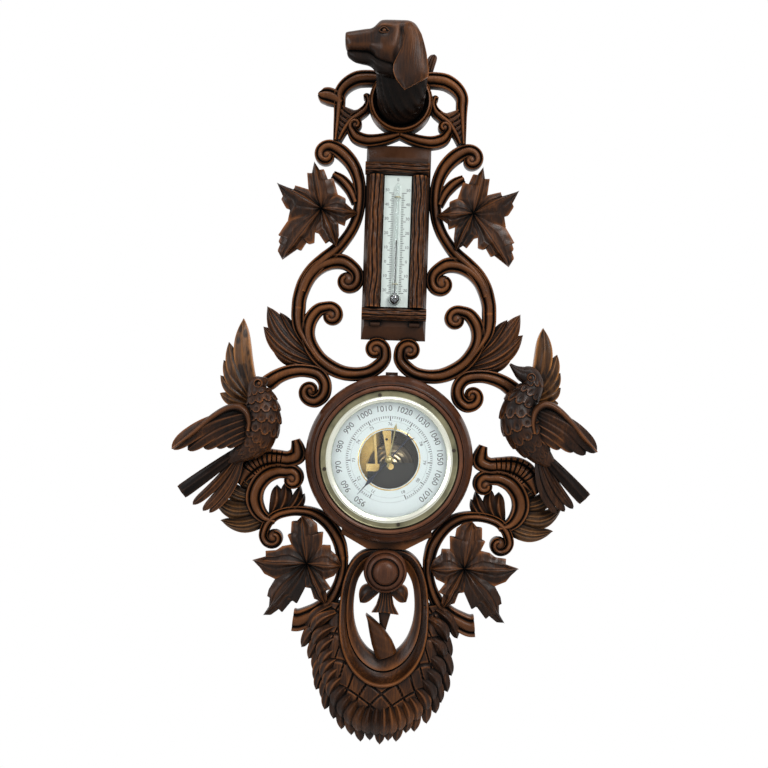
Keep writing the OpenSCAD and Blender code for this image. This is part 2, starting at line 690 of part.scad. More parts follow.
// Dial surround and backing board
backing_tab_w = 13;
backing_tab_y = 92;
case_seat_r = case_r + let_in;
flange_seat_r = flange_r + let_in;
surround_front = rim_z + 6;
flange_back = rim_z + 1;
module backing_board() {
    color(dark_walnut) stand() difference() {
        union() {
            disc(surround_r - 3, 0, backing_t);
            block(-backing_tab_w / 2, backing_tab_w / 2, 60, backing_tab_y, 0, backing_t + 4);
            linear_extrude(web_t)
                polygon([[-48, -75], [-48, -82.3], [-21, -97], [21, -97], [48, -82.3], [48, -75]]);
        }
        disc(surround_r + glue, backing_t, 60);
        disc(case_seat_r, -1, backing_t + 1);
    }
}
module dial_surround() {
    color("#6b3a22") stand() rotate_extrude()
        polygon([[case_seat_r, backing_t], [surround_r - 5, backing_t], [surround_r - 1, backing_t + 3],
            [surround_r, backing_t + 9], [surround_r, surround_front - 20],
            [surround_r - 1.5, surround_front - 15], [surround_r - 4, surround_front - 10],
            [surround_r - 7.5, surround_front - 6], [surround_r - 9.5, surround_front - 5],
            [surround_r - 9.5, surround_front - 3], [surround_r - 10.5, surround_front - 1.8],
            [surround_r - 11.5, surround_front - 3], [surround_r - 11.5, surround_front - 1.4],
            [surround_r - 13.5, surround_front], [flange_seat_r + 0.6, surround_front - 1],
            [flange_seat_r, surround_front - 3], [flange_seat_r, flange_back],
            [case_seat_r, flange_back]]);
}

// Boss, pendant leaf, powder horn and game bag
boss_gap = 7.2;
boss_y = -surround_r - boss_gap - boss_r;
module boss() {
    color(walnut) stand() translate([0, boss_y, fret_t])
        rotate_extrude() {
            polygon([[0, 0], [boss_r - 3, 0], [boss_r, 3], [boss_r, 6], [boss_r - 2, 8.5],
                [boss_r - 4, 9], [boss_r - 4.5, 11], [boss_r - 7, 12.5], [boss_r - 9, 12.5],
                [boss_r - 9.5, boss_t - 6], [boss_r - 11.5, boss_t - 3], [boss_r - 15, boss_t - 0.9],
                [boss_r - 19, boss_t], [0, boss_t]]);
        }
}
pendant_lobes = [[[-6, -134], [-25, -157], 16], [[6, -134], [23, -152], 15],
    [[-3, -132], [-12, -165], 14], [[3, -132], [15.5, -167], 14], [[0, -132], [0, -166], 16]];
pendant_stem = [[0, -140, 14], [0, -160, 13], [0, -172, 8], [0, -182.5, 3.5]];
pendant_z = 14;
pendant_root = [0, -128, 8];
module pendant_leaf() {
    color(walnut) stand() difference() {
        union() {
            for (l = pendant_lobes)
                strip([for (q = feather_steps) let (p = l[0] + (l[1] - l[0]) * q[0])
                    station([p.x, p.y, l[2] * q[1]], pendant_z, 7, fret_t - 4 * q[0] - pass)],
                        leaf_section);
            strip([for (p = pendant_stem) station(p, pendant_z, 9, fret_t - 3)], rod_section);
            translate(pendant_root)
                cylinder(r = 12, h = fret_t - pendant_root.z);
        }
        powder_horn_shape(glue);
    }
}
horn_path = [[-19.5, -166.5, 4], [-16, -173, 9], [-11, -180, 15], [-5, -187, 22], [0, -194, 27],
    [2.6, -200, 25], [3.2, -204, 22], [3.2, -207.2, 19]];
module powder_horn_shape(extra = 0) {
    strip([for (p = horn_path) station([p.x, p.y, p[2] + 2 * extra], pendant_z, 7, 26)], round_section);
}
module powder_horn() {
    color(walnut) stand() powder_horn_shape();
}
rim_half = [[0, -101.5, 11], [13, -103.5, 14], [23.5, -108.5, 17], [31.5, -118, 17], [37, -131, 15.5],
    [39.8, -147, 15], [40.6, -165, 15.5], [39, -183, 18], [34, -200, 21.5], [24.5, -215, 25.5],
    [12, -224.5, 29], [0, -227.3, 30.5]];
rim_fronts = [16, 16, 17, 19, 22, 25, 28, 31, 33, 34, 35, 35];
bag_centre = [-1, -178];
module bag_rim() {
    for (left = [true, false])
        mirrored(left)
            strip([for (i = [0 : len(rim_half) - 1]) station(rim_half[i], bag_z, 0, rim_fronts[i])],
                rim_section);
}
function tuft_reach(a) = 84 + 48 * pow(cos(a), 2.4);
function bag_point(a, r) = [bag_centre.x + r * sin(a), bag_centre.y - r * cos(a)];
function rim_edge(a) = [bag_centre.x + 44 * sin(a), bag_centre.y - 60 * cos(a)];
bag_swing = 78;
tuft_w = 16;
tuft_steps = [[0, 0.9], [0.75, 0.95], [1, 0.3]];
module bag_belly() {
    strip([for (a = [-bag_swing : bag_swing / 8 : bag_swing])
        let (inner = rim_edge(a), outer = bag_point(a, 0.87 * tuft_reach(a)), mid = (inner + outer) / 2)
        station([mid.x, mid.y, norm(outer - inner)], bag_z, 0, 32)], belly_section);
}
module bag_fringe() {
    for (i = [0 : fringe_count - 1]) {
        a = -84 + 168 * i / (fringe_count - 1);
        reach = tuft_reach(a) * (i % 2 == 0 ? 1 : 0.95);
        root = bag_point(a * 0.98, 0.7 * reach);
        tip = bag_point(a, reach);
        strip([for (q = tuft_steps) let (p = root + (tip - root) * q[0])
            station([p.x, p.y, tuft_w * q[1]], bag_z, 0, 22 - 13 * q[0])], leaf_section);
    }
}
module game_bag() {
    color(walnut) stand() difference() {
        union() {
            bag_rim();
            bag_belly();
            bag_fringe();
        }
        for (left = [true, false])
            mirrored(left)
                lower_scroll();
    }
}

// Flange, glass and case
lip_z = rim_z + glass_t;
glass_r = case_r - 1.2;
module flange() {
    color(brass) stand() difference() {
        rotate_extrude()
            polygon([[glass_r + let_in, flange_back], [flange_r, flange_back], [flange_r, rim_z + 2.4],
                [flange_r - 1, rim_z + 3], [flange_r - 2, rim_z + 2.6], [glass_r + 1.2, rim_z + 2.6],
                [glass_r + 0.8, rim_z + 5], [glass_r - 0.6, rim_z + 6], [sight_r + 1, rim_z + 4.6],
                [sight_r, lip_z + 0.6], [sight_r, lip_z], [glass_r + let_in, lip_z]]);
        for (i = [0 : 3])
            rotate([0, 0, flange_screw_turn + 90 * i])
                translate([flange_screw_at, 0, 0])
                    disc(flange_screw_r + running, rim_z, rim_z + 4);
    }
}
flange_screw_turn = 10;
flange_screw_at = (glass_r + 1.2 + flange_r - 1.6) / 2;
flange_screw_head_r = 2;
module flange_screws() {
    color(brass) stand() for (i = [0 : 3])
        rotate([0, 0, flange_screw_turn + 90 * i])
            translate([flange_screw_at, 0, 0])
                difference() {
                    union() {
                        disc(flange_screw_r, flange_back, rim_z + 2.6);
                        disc(flange_screw_head_r, rim_z + 2.6, rim_z + 3.4);
                    }
                    block(-3, 3, -0.25, 0.25, rim_z + 3, rim_z + 4);
                }
}
stem_r = 1.5;
module front_glass() {
    color("#dfeff2", 0.3) stand() difference() {
        disc(glass_r, rim_z, lip_z);
        disc(stem_r + running, rim_z - 1, lip_z + 1);
    }
}
case_back = 2;
case_floor = case_back + case_wall;
adjust_y = -46;
module movement_case() {
    color("#4a4640") stand() difference() {
        rotate_extrude()
            polygon([[0, case_back], [case_r, case_back], [case_r, rim_z], [glass_r - 2, rim_z],
                [glass_r - 2, rim_z - case_wall], [case_r - case_wall, rim_z - case_wall],
                [case_r - case_wall, case_floor], [0, case_floor]]);
        translate([0, adjust_y, 0])
            disc(adjust_r + 0.6, case_back - 1, case_floor + 1);
    }
}

// Movement: the capsule pulls the mainspring down as the pressure rises, the main lever follows it and
// lets the rocker turn, and the rocker's arm gives chain to the drum of the hand arbor
plate_z = case_floor;
plate_top = plate_z + 1.6;
dial_back = rim_z - 4.8;
dial_front = dial_back + dial_t;
dial_r = case_r - case_wall - let_in;
plate_r = dial_r - 6.6;
capsule_x = 2;
capsule_y = -8.3;
capsule_z = plate_top + 2;
capsule_top = capsule_z + capsule_t;
stud_r = 1.6;
spring_top = capsule_top + 8;
spring_end_y = -43;
spring_front_y = -4;
rocker_y = 38;
rocker_z = 10.5;
rocker_lean = 16;
crank_l = 2.5;
crank_x = -17;
lever_z = spring_top + spring_blade;
arbor_foot = capsule_top + 1.8;
module base_plate() {
    color(brass) stand() difference() {
        disc(plate_r, plate_z, plate_top);
        translate([0, adjust_y, 0])
            disc(adjust_r + running, plate_z - 1, plate_top + 1);
    }
}
module dial() {
    color("#f2f4f6") stand() difference() {
        disc(dial_r, dial_back, dial_front);
        disc(dial_hole_r, dial_back - 1, dial_front + 1);
    }
}
pillar_at = dial_r - 12.6;
pillar_r = 2.5;
module dial_pillars() {
    color(brass) stand() for (a = [30, 150, 270])
        rotate([0, 0, a])
            translate([pillar_at, 0, 0])
                disc(pillar_r, plate_top, dial_back);
}
hand_z = dial_front + 1.2;
hand_t = 0.5;
module clockwise(a) {
    rotate([0, 0, -a])
        children();
}
tail_len = 34;
module pressure_hand() {
    color("#23304a") stand() clockwise(hand_bearing) translate([0, 0, hand_z]) difference() {
        union() {
            linear_extrude(hand_t)
                polygon([[-0.9, 0], [-0.7, hand_len * 0.45], [-2.4, hand_len * 0.6],
                    [-0.5, hand_len * 0.75], [-0.15, hand_len], [0.15, hand_len], [0.5, hand_len * 0.75],
                    [2.4, hand_len * 0.6], [0.7, hand_len * 0.45], [0.9, 0], [0.6, -tail_len + 4],
                    [-0.6, -tail_len + 4]]);
            disc(2.6, 0, hand_t);
            translate([0, -tail_len, 0])
                disc(tail_r, 0, hand_t);
        }
        translate([0, -tail_len - 2.2, 0])
            disc(tail_r, -1, hand_t + 1);
        disc(arbor_r * 0.8 + running / 2, -1, hand_t + 1);
    }
}
tail_r = 4.4;
arbor_top = hand_z + hand_t + 0.5;
drum_z = 22.5;
module hand_arbor() {
    color(steel) stand() {
        disc(arbor_r, arbor_foot, hand_z - 0.3);
        disc(arbor_r * 0.8, hand_z - 0.3, arbor_top);
        disc(drum_r, drum_z - 1.5, drum_z + 1.5);
        disc(drum_r + 0.9, drum_z - 1.8, drum_z - 1.5);
        disc(drum_r + 0.9, drum_z + 1.5, drum_z + 1.8);
    }
}
bridge_lower_z = arbor_foot + 0.6;
bridge_upper_z = 28;
bridge_arm_t = 1.5;
bridge_w = 9;
bridge_foot_y = 27;
module bridge_arm(z0) {
    translate([0, 0, z0])
        linear_extrude(bridge_arm_t)
            difference() {
                union() {
                    polygon([[-2.2, 0], [2.2, 0], [1.2, bridge_foot_y + 3],
                        [1.2 - bridge_w, bridge_foot_y + 3]]);
                    circle(3);
                }
                circle(arbor_r + running);
                translate([-3.3, bridge_foot_y - 6.5])
                    circle(1.5);
            }
}
hairspring_turns = 3;
hairspring_pitch = 1.5;
hairspring_z = 25.4;
hairspring_t = 0.25;
// Hangs from the upper arm and holds the outer end of the hairspring
module hairspring_stud() {
    y = coil_r(360 * hairspring_turns) + hairspring_t / 2 + running;
    block(-0.6, 0.6, y, y + 1.2, hairspring_z, bridge_upper_z);
}
module bridge() {
    color(brass) stand() {
        bridge_arm(bridge_upper_z);
        bridge_arm(bridge_lower_z);
        block(1.2 - bridge_w, 1.2, bridge_foot_y - 1, bridge_foot_y + 3, plate_top, bridge_upper_z);
        hairspring_stud();
    }
}
ribbon_section = [[-1, 0], [-1, 1], [1, 1], [1, 0]];
function coil_r(a) = arbor_r + 0.2 + hairspring_pitch * a / 360;
module hairspring() {
    color(steel) stand()
        strip([for (a = [0 : 36 : 360 * hairspring_turns])
            [-coil_r(a) * sin(a), coil_r(a) * cos(a), hairspring_t, hairspring_z, hairspring_z + 1]],
            ribbon_section);
}
module set_hand() {
    color(brass) stand() clockwise(set_bearing) translate([0, 0, rim_z - 1]) difference() {
        union() {
            linear_extrude(hand_t)
                polygon([[-1.4, -8], [-0.8, 0], [-0.6, set_hand_len * 0.8], [-1.9, set_hand_len * 0.86],
                    [0, set_hand_len], [1.9, set_hand_len * 0.86], [0.6, set_hand_len * 0.8], [0.8, 0],
                    [1.4, -8]]);
            disc(2.8, 0, hand_t);
        }
        disc(stem_r + running / 2, -1, hand_t + 1);
    }
}
module set_knob() {
    color(brass) stand() {
        disc(stem_r, rim_z - 1.1, lip_z + 0.3);
        translate([0, 0, lip_z + 0.3])
            rotate_extrude()
                polygon([[0, 0], [knob_r, 0], [knob_r, 1], [knob_r - 0.8, 1.6], [knob_r - 0.8, 3],
                    [knob_r - 1.6, 4.4], [knob_r - 3, 5], [0, 5]]);
    }
}
capsule_ridges = 4;
module capsule() {
    ridge = (capsule_r - 5) / capsule_ridges;
    color("#b9bcc0") stand() translate([capsule_x, capsule_y, 0]) {
        rotate_extrude()
            polygon(concat([[0, capsule_z], [capsule_r - 1, capsule_z], [capsule_r, capsule_z + 1],
                [capsule_r, capsule_top - 2], [capsule_r - 1, capsule_top - 1]],
                [for (i = [0 : 2 * capsule_ridges - 1])
                    [capsule_r - 1.5 - ridge * i / 2, capsule_top - (i % 2 == 0 ? 1 : 0.1)]],
                [[4, capsule_top], [0, capsule_top]]));
        disc(4, plate_top, capsule_z);
    }
}
module capsule_stud() {
    color(brass) stand() translate([capsule_x, capsule_y, 0]) {
        disc(stud_r, capsule_top, lever_z);
        disc(3.4, lever_z, lever_z + 1.6);
    }
}
module mainspring() {
    color("#3a3330") stand() difference() {
        translate([capsule_x - spring_w / 2, 0, 0])
            rotate([90, 0, 90])
                linear_extrude(spring_w) {
                    bend_r = (spring_top - spring_foot_z) / 2;
                    polygon([[spring_end_y, spring_top], [spring_front_y, spring_top],
                        [spring_front_y, lever_z], [spring_end_y, lever_z]]);
                    polygon([[spring_end_y, spring_foot_z - spring_blade],
                        [spring_end_y + 9.5, spring_foot_z - spring_blade],
                        [spring_end_y + 9.5, spring_foot_z], [spring_end_y, spring_foot_z]]);
                    translate([spring_end_y, (spring_top + spring_foot_z) / 2])
                        difference() {
                            circle(bend_r + spring_blade);
                            circle(bend_r);
                            translate([0, -30])
                                square([30, 60]);
                        }
                }
        translate([capsule_x, capsule_y, 0])
            disc(stud_r + let_in, spring_top - 1, lever_z + 1);
    }
}
spring_foot_z = 13;
module spring_block() {
    color("#55504a") stand()
        block(capsule_x - spring_w / 2 + 3, capsule_x + spring_w / 2 - 3, spring_end_y + 0.5,
            spring_end_y + 9.5, plate_top, spring_foot_z - spring_blade);
}
lever_x = -13;
lever_t = 1.2;
lever_end_y = rocker_y - crank_l;
module main_lever() {
    color(brass) stand() {
        block(-24, -10, spring_front_y - 10, spring_front_y - 2, lever_z, lever_z + lever_t);
        translate([0, 0, lever_z])
            linear_extrude(lever_t)
                polygon([[lever_x - 1.3, spring_front_y - 5], [lever_x + 1.3, spring_front_y - 5],
                    [crank_x + 1.3, lever_end_y], [crank_x - 1.3, lever_end_y]]);
        translate([crank_x, lever_end_y, 0])
            disc(1.3, lever_z, lever_z + lever_t);
        translate([crank_x, lever_end_y, 0])
            disc(0.5, rocker_z + 1, lever_z + 0.2);
    }
}
post_x = [-22, 12];
post_r = 2.2;
pivot_r = 0.8;
module rocker_shaft() {
    color(steel) stand() {
        translate([post_x[0] - post_r, rocker_y, rocker_z])
            rotate([0, 90, 0])
                cylinder(r = pivot_r, h = post_x[1] - post_x[0] + 2 * post_r);
        translate([crank_x, rocker_y - crank_l, rocker_z])
            cube([3.4, 1, 1.4], center = true);
        translate([crank_x, rocker_y - crank_l / 2, rocker_z])
            cube([1, crank_l, 1.4], center = true);
        translate([drum_r, rocker_y, rocker_z])
            rotate([-rocker_lean, 0, 0])
                cylinder(r = 0.7, h = rocker_arm);
    }
}
module rocker_posts() {
    color(brass) stand() for (x = post_x)
        translate([x, rocker_y, 0])
            difference() {
                disc(post_r, plate_top, rocker_z + 3);
                translate([-10, 0, rocker_z])
                    rotate([0, 90, 0])
                        cylinder(r = pivot_r + running, h = 20);
            }
}
chain_t = 0.5;
module fusee_chain() {
    chain_y0 = 0.6;
    chain_y1 = rocker_y + rocker_arm * sin(rocker_lean) - 1.2;
    color(steel) stand()
        block(drum_r, drum_r + chain_t, chain_y0, chain_y1, drum_z - 0.4, drum_z + 0.4);
}
module adjusting_screw() {
    color(steel) stand() translate([0, adjust_y, 0]) difference() {
        disc(adjust_r, case_back + 0.2, plate_top + 3);
        block(-4, 4, -0.35, 0.35, case_back - 1, case_back + 1);
    }
}

neck_ring();
dog_head();
crest_left();
crest_right();
side_scroll_left();
side_scroll_right();
cradle_scroll_left();
cradle_scroll_right();
perch_left();
perch_right();
lower_scroll_left();
lower_scroll_right();
vine_leaf_upper_left();
vine_leaf_upper_right();
vine_leaf_lower_left();
vine_leaf_lower_right();
bird_left();
bird_right();
raised_wing_left();
raised_wing_right();
thermometer_board();
log_top();
log_bottom();
log_left();
log_right();
log_stubs();
scale_plate();
thermometer_tube();
spirit_column();
tube_clips();
backing_board();
dial_surround();
game_bag();
boss();
pendant_leaf();
powder_horn();
flange();
flange_screws();
front_glass();
movement_case();
base_plate();
dial();
dial_pillars();
pressure_hand();
hand_arbor();
hairspring();
set_hand();
set_knob();
bridge();
capsule();
capsule_stud();
mainspring();
spring_block();
main_lever();
rocker_shaft();
rocker_posts();
fusee_chain();
adjusting_screw();
hanging_plate();
hanging_screws();
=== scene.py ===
# %% [markdown]
# # A carved wall barometer
# A hunting-style barometer is a sheet of fretwork, 20 mm thick, with carved pieces glued on it: vine
# leaves, birds, a game bag and a hound's head. This notebook dresses the solid model of it. Every
# carved piece is swept, lofted or cut here with mesh operators, and then gets a finish of its own.

# %% Load the solid model
import json
import math
import bmesh
import bpy
from mathutils import Matrix, Vector
from mathutils.noise import noise

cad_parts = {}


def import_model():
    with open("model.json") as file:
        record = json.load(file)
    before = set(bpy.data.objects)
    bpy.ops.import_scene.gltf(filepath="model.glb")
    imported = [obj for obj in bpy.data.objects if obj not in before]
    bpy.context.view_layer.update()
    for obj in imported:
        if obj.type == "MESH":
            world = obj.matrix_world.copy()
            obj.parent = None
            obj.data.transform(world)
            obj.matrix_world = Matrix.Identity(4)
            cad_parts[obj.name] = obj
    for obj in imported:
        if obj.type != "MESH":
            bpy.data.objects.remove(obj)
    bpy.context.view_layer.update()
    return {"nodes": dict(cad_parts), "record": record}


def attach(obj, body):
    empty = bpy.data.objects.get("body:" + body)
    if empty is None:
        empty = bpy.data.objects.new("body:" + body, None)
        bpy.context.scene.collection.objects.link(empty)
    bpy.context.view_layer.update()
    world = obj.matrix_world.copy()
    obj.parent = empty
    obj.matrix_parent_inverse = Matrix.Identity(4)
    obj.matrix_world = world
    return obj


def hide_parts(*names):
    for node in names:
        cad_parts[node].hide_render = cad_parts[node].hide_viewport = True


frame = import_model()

print("nodes to dress:", len(frame["nodes"]))

# %% [markdown]
# ## Places
# The carving is drawn in millimetres from the centre of the dial, with x to the right and y up, as an
# eye 1.3 m in front of it sees it. Work that stands nearer the eye looks larger, so each drawn point is
# brought back to its real place at its depth before it goes into Blender's metres.

# %% From drawn millimetres to metres
MM = 0.001
HANG = 381.5
EYE_D = 1300
EYE_H = 81.5
FRET_MID = 10
FLANGE_FRONT = 46
FRET_T = 20


def shrink(depth):
    return (EYE_D - depth) / (EYE_D - FRET_MID)


def seen(x, y, depth):
    k = shrink(depth)
    return x * k, y * k + EYE_H * (shrink(FLANGE_FRONT) - k)


def world(x, y, depth):
    return Vector((x, -depth, y - HANG)) * MM


def smooth(rows, steps):
    """A smooth run of rows of numbers through the given rows."""
    out = []
    for i in range(len(rows) - 1):
        four = rows[max(i - 1, 0)], rows[i], rows[i + 1], rows[min(i + 2, len(rows) - 1)]
        for k in range(steps):
            t = k / steps
            row = []
            for a, b, c, d in zip(*four):
                bend, twist = 2 * a - 5 * b + 4 * c - d, 3 * b - a - 3 * c + d
                row.append(0.5 * (2 * b + (c - a) * t + bend * t ** 2 + twist * t ** 3))
            out.append(tuple(row))
    out.append(tuple(rows[-1]))
    return out


def drawn(points, depth, lo, hi):
    """Stations of a carved strip from drawn points (x, y, width): x, y, width, back and front."""
    return [(*seen(x, y, depth), w * shrink(depth), lo, hi) for x, y, w in points]


print("eye distance", EYE_D, "mm")

# %% [markdown]
# ## Skins, strips and plates
# Everything carved here is a skin: a grid from `create_grid` has the right rows and columns already, so
# each of its points is set where the carving has it, the two long edges are merged, and the ends are
# filled. A strip bends that skin along stations. A plate stretches it between a left and a right edge,
# which is how a leaf, an ear or a feather is cut from a board.

# %% Skins
def skin(bm, rows, cols, spot, loop=False):
    """Bends a grid into a closed skin, where spot(i, j) is the place of column j of row i."""
    grid = bmesh.ops.create_grid(bm, x_segments=cols, y_segments=rows - 1, size=MM)["verts"]
    for i in range(rows):
        for j in range(cols + 1):
            grid[i * (cols + 1) + j].co = spot(i, j % cols)
    bmesh.ops.remove_doubles(bm, verts=grid, dist=2e-6)
    if not loop:
        bmesh.ops.holes_fill(bm, edges=[e for e in bm.edges if e.is_boundary], sides=0)


def sweep(bm, rows, section, loop=False):
    """A strip along stations. section is a list of (across, depth) shares, or a function of the run."""
    last = len(rows) - 1
    shapes = [section(i / last) if callable(section) else section for i in range(last + 1)]

    def spot(i, j):
        x, y, w, lo, hi = rows[i]
        before, after = rows[max(i - 1, 0)], rows[min(i + 1, last)]
        if loop and i in (0, last):
            before, after = rows[-2], rows[1]
        run = Vector((after[0] - before[0], after[1] - before[1])).normalized()
        across, depth = shapes[i][j]
        return world(x - run.y * across * w / 2, y + run.x * across * w / 2, lo + depth * (hi - lo))

    skin(bm, last + 1, len(shapes[0]), spot, loop)


class Edge:
    """A run of drawn points that can be read at any share of its length."""

    def __init__(self, points):
        self.points = [Vector(p) for p in points]
        self.reach = [0.0]
        for a, b in zip(self.points, self.points[1:]):
            self.reach.append(self.reach[-1] + (b - a).length)

    def at(self, share):
        want = share * self.reach[-1]
        k = next((k for k in range(1, len(self.reach)) if want <= self.reach[k]), len(self.reach) - 1)
        return self.points[k - 1].lerp(self.points[k], (want - self.reach[k - 1]) / max(
            self.reach[k] - self.reach[k - 1], 1e-6))


def plate(bm, left, mid, right, depth, lo, front, rows=36, cols=8):
    """A plate between two edges, flat behind; front(t, u) is how far out it stands along and across."""
    left, mid, right = Edge(left), Edge(mid), Edge(right)
    top = [math.copysign((abs(k) / cols) ** 1.25, k) for k in range(-cols, cols + 1)]
    across = [-1] + top + [1]

    def spot(i, j):
        t, u = i / rows, across[j]
        x, y = mid.at(t).lerp((right if u > 0 else left).at(t), abs(u))
        x, y = seen(x, y, depth)
        return world(x, y, lo if j in (0, len(across) - 1) else front(t, u))

    skin(bm, rows + 1, len(across), spot)


def turned(bm, x, y, profile, count=72):
    """A turning round an axis that points at the eye, from (radius, depth) pairs."""
    def spot(i, j):
        a = math.tau * j / count
        r, depth = profile[i]
        return world(x + r * math.cos(a), y + r * math.sin(a), depth)

    skin(bm, len(profile), count, spot)


def ball(bm, x, y, depth, r, flat=1.0):
    """A ball at a drawn place, pressed by flat towards the eye."""
    x, y = seen(x, y, depth)
    place = Matrix.Translation(world(x, y, depth)) @ Matrix.Diagonal((r * MM, r * MM * flat, r * MM, 1))
    bmesh.ops.create_uvsphere(bm, u_segments=20, v_segments=14, radius=1, matrix=place)


def carve(name, bm, nodes, finish, body="carcass", crisp=38):
    """Turns a finished bmesh into a piece that stands for the given nodes."""
    bmesh.ops.recalc_face_normals(bm, faces=bm.faces[:])
    for face in bm.faces:
        face.smooth = True
    for edge in bm.edges:
        edge.smooth = len(edge.link_faces) == 2 and edge.calc_face_angle(0) < math.radians(crisp)
    mesh = bpy.data.meshes.new(name)
    bm.to_mesh(mesh)
    bm.free()
    piece = bpy.data.objects.new(name, mesh)
    bpy.context.collection.objects.link(piece)
    mesh.materials.append(finish)
    if nodes:
        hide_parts(*nodes)
    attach(piece, body)
    print(name, len(mesh.polygons), "faces")
    return piece


# %% [markdown]
# ## Shader sums
# A finish is a chain of nodes. This small class wraps a socket, so that a sum such as `1 - mask`
# adds its Math node by itself, and `Finish.node` makes every other kind.

# %% Sockets that add up
class Value:
    """A node's output, which makes a Math node when it is added, multiplied or taken from a number."""

    def __init__(self, finish, socket):
        self.finish = finish
        self.socket = socket

    def _math(self, operation, first, second):
        return self.finish.node("ShaderNodeMath", {"operation": operation}, {0: first, 1: second})

    def __add__(self, other):
        return self._math("ADD", self, other)

    def __rsub__(self, other):
        return self._math("SUBTRACT", other, self)

    def __mul__(self, other):
        return self._math("MULTIPLY", self, other)


class Finish:
    """A material with one Principled shader, and the nodes that feed it."""

    def __init__(self, name, **fixed):
        self.material = bpy.data.materials.new(name)
        self.material.use_nodes = True
        self.tree = self.material.node_tree
        self.shader = self.tree.nodes["Principled BSDF"]
        for socket, value in fixed.items():
            self.shader.inputs[socket.replace("_", " ")].default_value = value

    def node(self, kind, settings=None, inputs=None, out=0):
        made = self.tree.nodes.new(kind)
        for key, value in (settings or {}).items():
            if key == "stops":
                ramp = made.color_ramp
                while len(ramp.elements) < len(value):
                    ramp.elements.new(0.5)
                for element, (place, color) in zip(ramp.elements, value):
                    element.position = place
                    element.color = (*color, 1) if isinstance(color, tuple) else (color, color, color, 1)
            else:
                setattr(made, key, value)
        for key, value in (inputs or {}).items():
            if isinstance(value, Value):
                self.tree.links.new(value.socket, made.inputs[key])
            else:
                made.inputs[key].default_value = value
        return Value(self, made.outputs[out])

    def place(self, scale=(1, 1, 1)):
        at = self.node("ShaderNodeTexCoord", out="Object")
        return self.node("ShaderNodeMapping", {}, {"Vector": at, "Scale": scale})

    def noise(self, at, scale, detail=4, rough=0.55, stretch=0):
        return self.node("ShaderNodeTexNoise", {}, {
            "Vector": at, "Scale": scale, "Detail": detail, "Roughness": rough, "Distortion": stretch})

    def ramp(self, value, stops):
        return self.node("ShaderNodeValToRGB", {"stops": stops}, {"Fac": value})

    def mix(self, share, first, second):
        inputs = {0: share}
        for key, value in ((6, first), (7, second)):
            inputs[key] = (*value, 1) if isinstance(value, tuple) else value
        return self.node("ShaderNodeMix", {"data_type": "RGBA"}, inputs, out=2)

    def feed(self, **sockets):
        for name, value in sockets.items():
            self.tree.links.new(value.socket, self.shader.inputs[name.replace("_", " ")])

    def bump(self, height, distance, strength=1.0):
        made = self.node("ShaderNodeBump", {},
                         {"Height": height, "Distance": distance, "Strength": strength})
        self.feed(Normal=made)


# %% [markdown]
# ## Walnut
# The carcass is stained walnut under wax. The ambient occlusion of the carving darkens its colour nearly
# to black in the hollows, which is painted shade, and the sharp edges come up orange brown, partly as
# rubbed wear and partly as a painted highlight. Long thin noise along the height is the grain, and
# short strokes in the bump are the gouge's.

# %% Wood finishes
def walnut(name, dark, middle, light, gloss=0.3, wear_and_highlight=1.0, spots=False, sheen=0.17):
    wood = Finish(name, Specular_IOR_Level=sheen)
    tall = wood.place((1, 1, 0.09))
    grain = wood.noise(tall, 420, 6, 0.62, 0.6)
    broad = wood.noise(wood.place((1, 1, 0.35)), 26, 3, 0.5)
    body = wood.ramp(grain * 0.4 + broad * 0.6, [(0.38, dark), (0.52, middle), (0.66, light)])
    if spots:
        cell = wood.node("ShaderNodeTexVoronoi", {"feature": "F1"}, {
            "Vector": wood.place((1, 0, 0.6)), "Scale": 120, "Randomness": 0.8})
        spot = wood.node("ShaderNodeMapRange", {}, {0: cell, 1: 0.34, 2: 0.46, 3: 1.0, 4: 0.0})
        body = wood.mix(spot * 0.85, body, tuple(c * 0.25 for c in dark))
    # Painted shade: ambient occlusion, wide and tight, darkens the colour in the hollows of the carving.
    painted_shade_wide = wood.node("ShaderNodeAmbientOcclusion", {"samples": 8}, {"Distance": 0.012}, out=1)
    painted_shade_tight = wood.node("ShaderNodeAmbientOcclusion", {"samples": 8}, {"Distance": 0.003}, out=1)
    edge = wood.node("ShaderNodeNewGeometry", out="Pointiness")
    # Sharp edges found by pointiness come up orange brown: rubbed wear, and partly a painted highlight.
    worn_and_highlit_edge = wood.node("ShaderNodeMapRange", {}, {0: edge, 1: 0.508, 2: 0.58, 3: 0.0, 4: 0.85 * wear_and_highlight})
    patches = wood.noise(wood.place(), 34, 3, 0.6)
    worn_and_highlit = wood.mix(worn_and_highlit_edge * (patches * 1.6), body, tuple(min(1, c * 2.6) for c in light))
    unshaded_share = wood.node("ShaderNodeMapRange", {}, {
        0: painted_shade_wide * (painted_shade_tight * 0.65 + 0.35), 1: 0.4, 2: 0.98, 3: 0.0, 4: 1.0})
    # Where the occlusion closes in, the colour falls to a fraction of the dark tone: painted shade.
    wood.feed(Base_Color=wood.mix(unshaded_share, tuple(c * 0.15 for c in dark), worn_and_highlit))
    rough = wood.node("ShaderNodeMapRange", {},
                      {0: patches, 1: 0.3, 2: 0.7, 3: gloss - 0.08, 4: gloss + 0.16})
    wood.feed(Roughness=rough + (1 - unshaded_share) * 0.3)
    strokes = wood.noise(wood.place((1, 1, 0.4)), 260, 3, 0.6, 0.4)
    wood.bump(grain * 0.35 + strokes * 0.65, 0.0006, 0.5)
    return wood.material


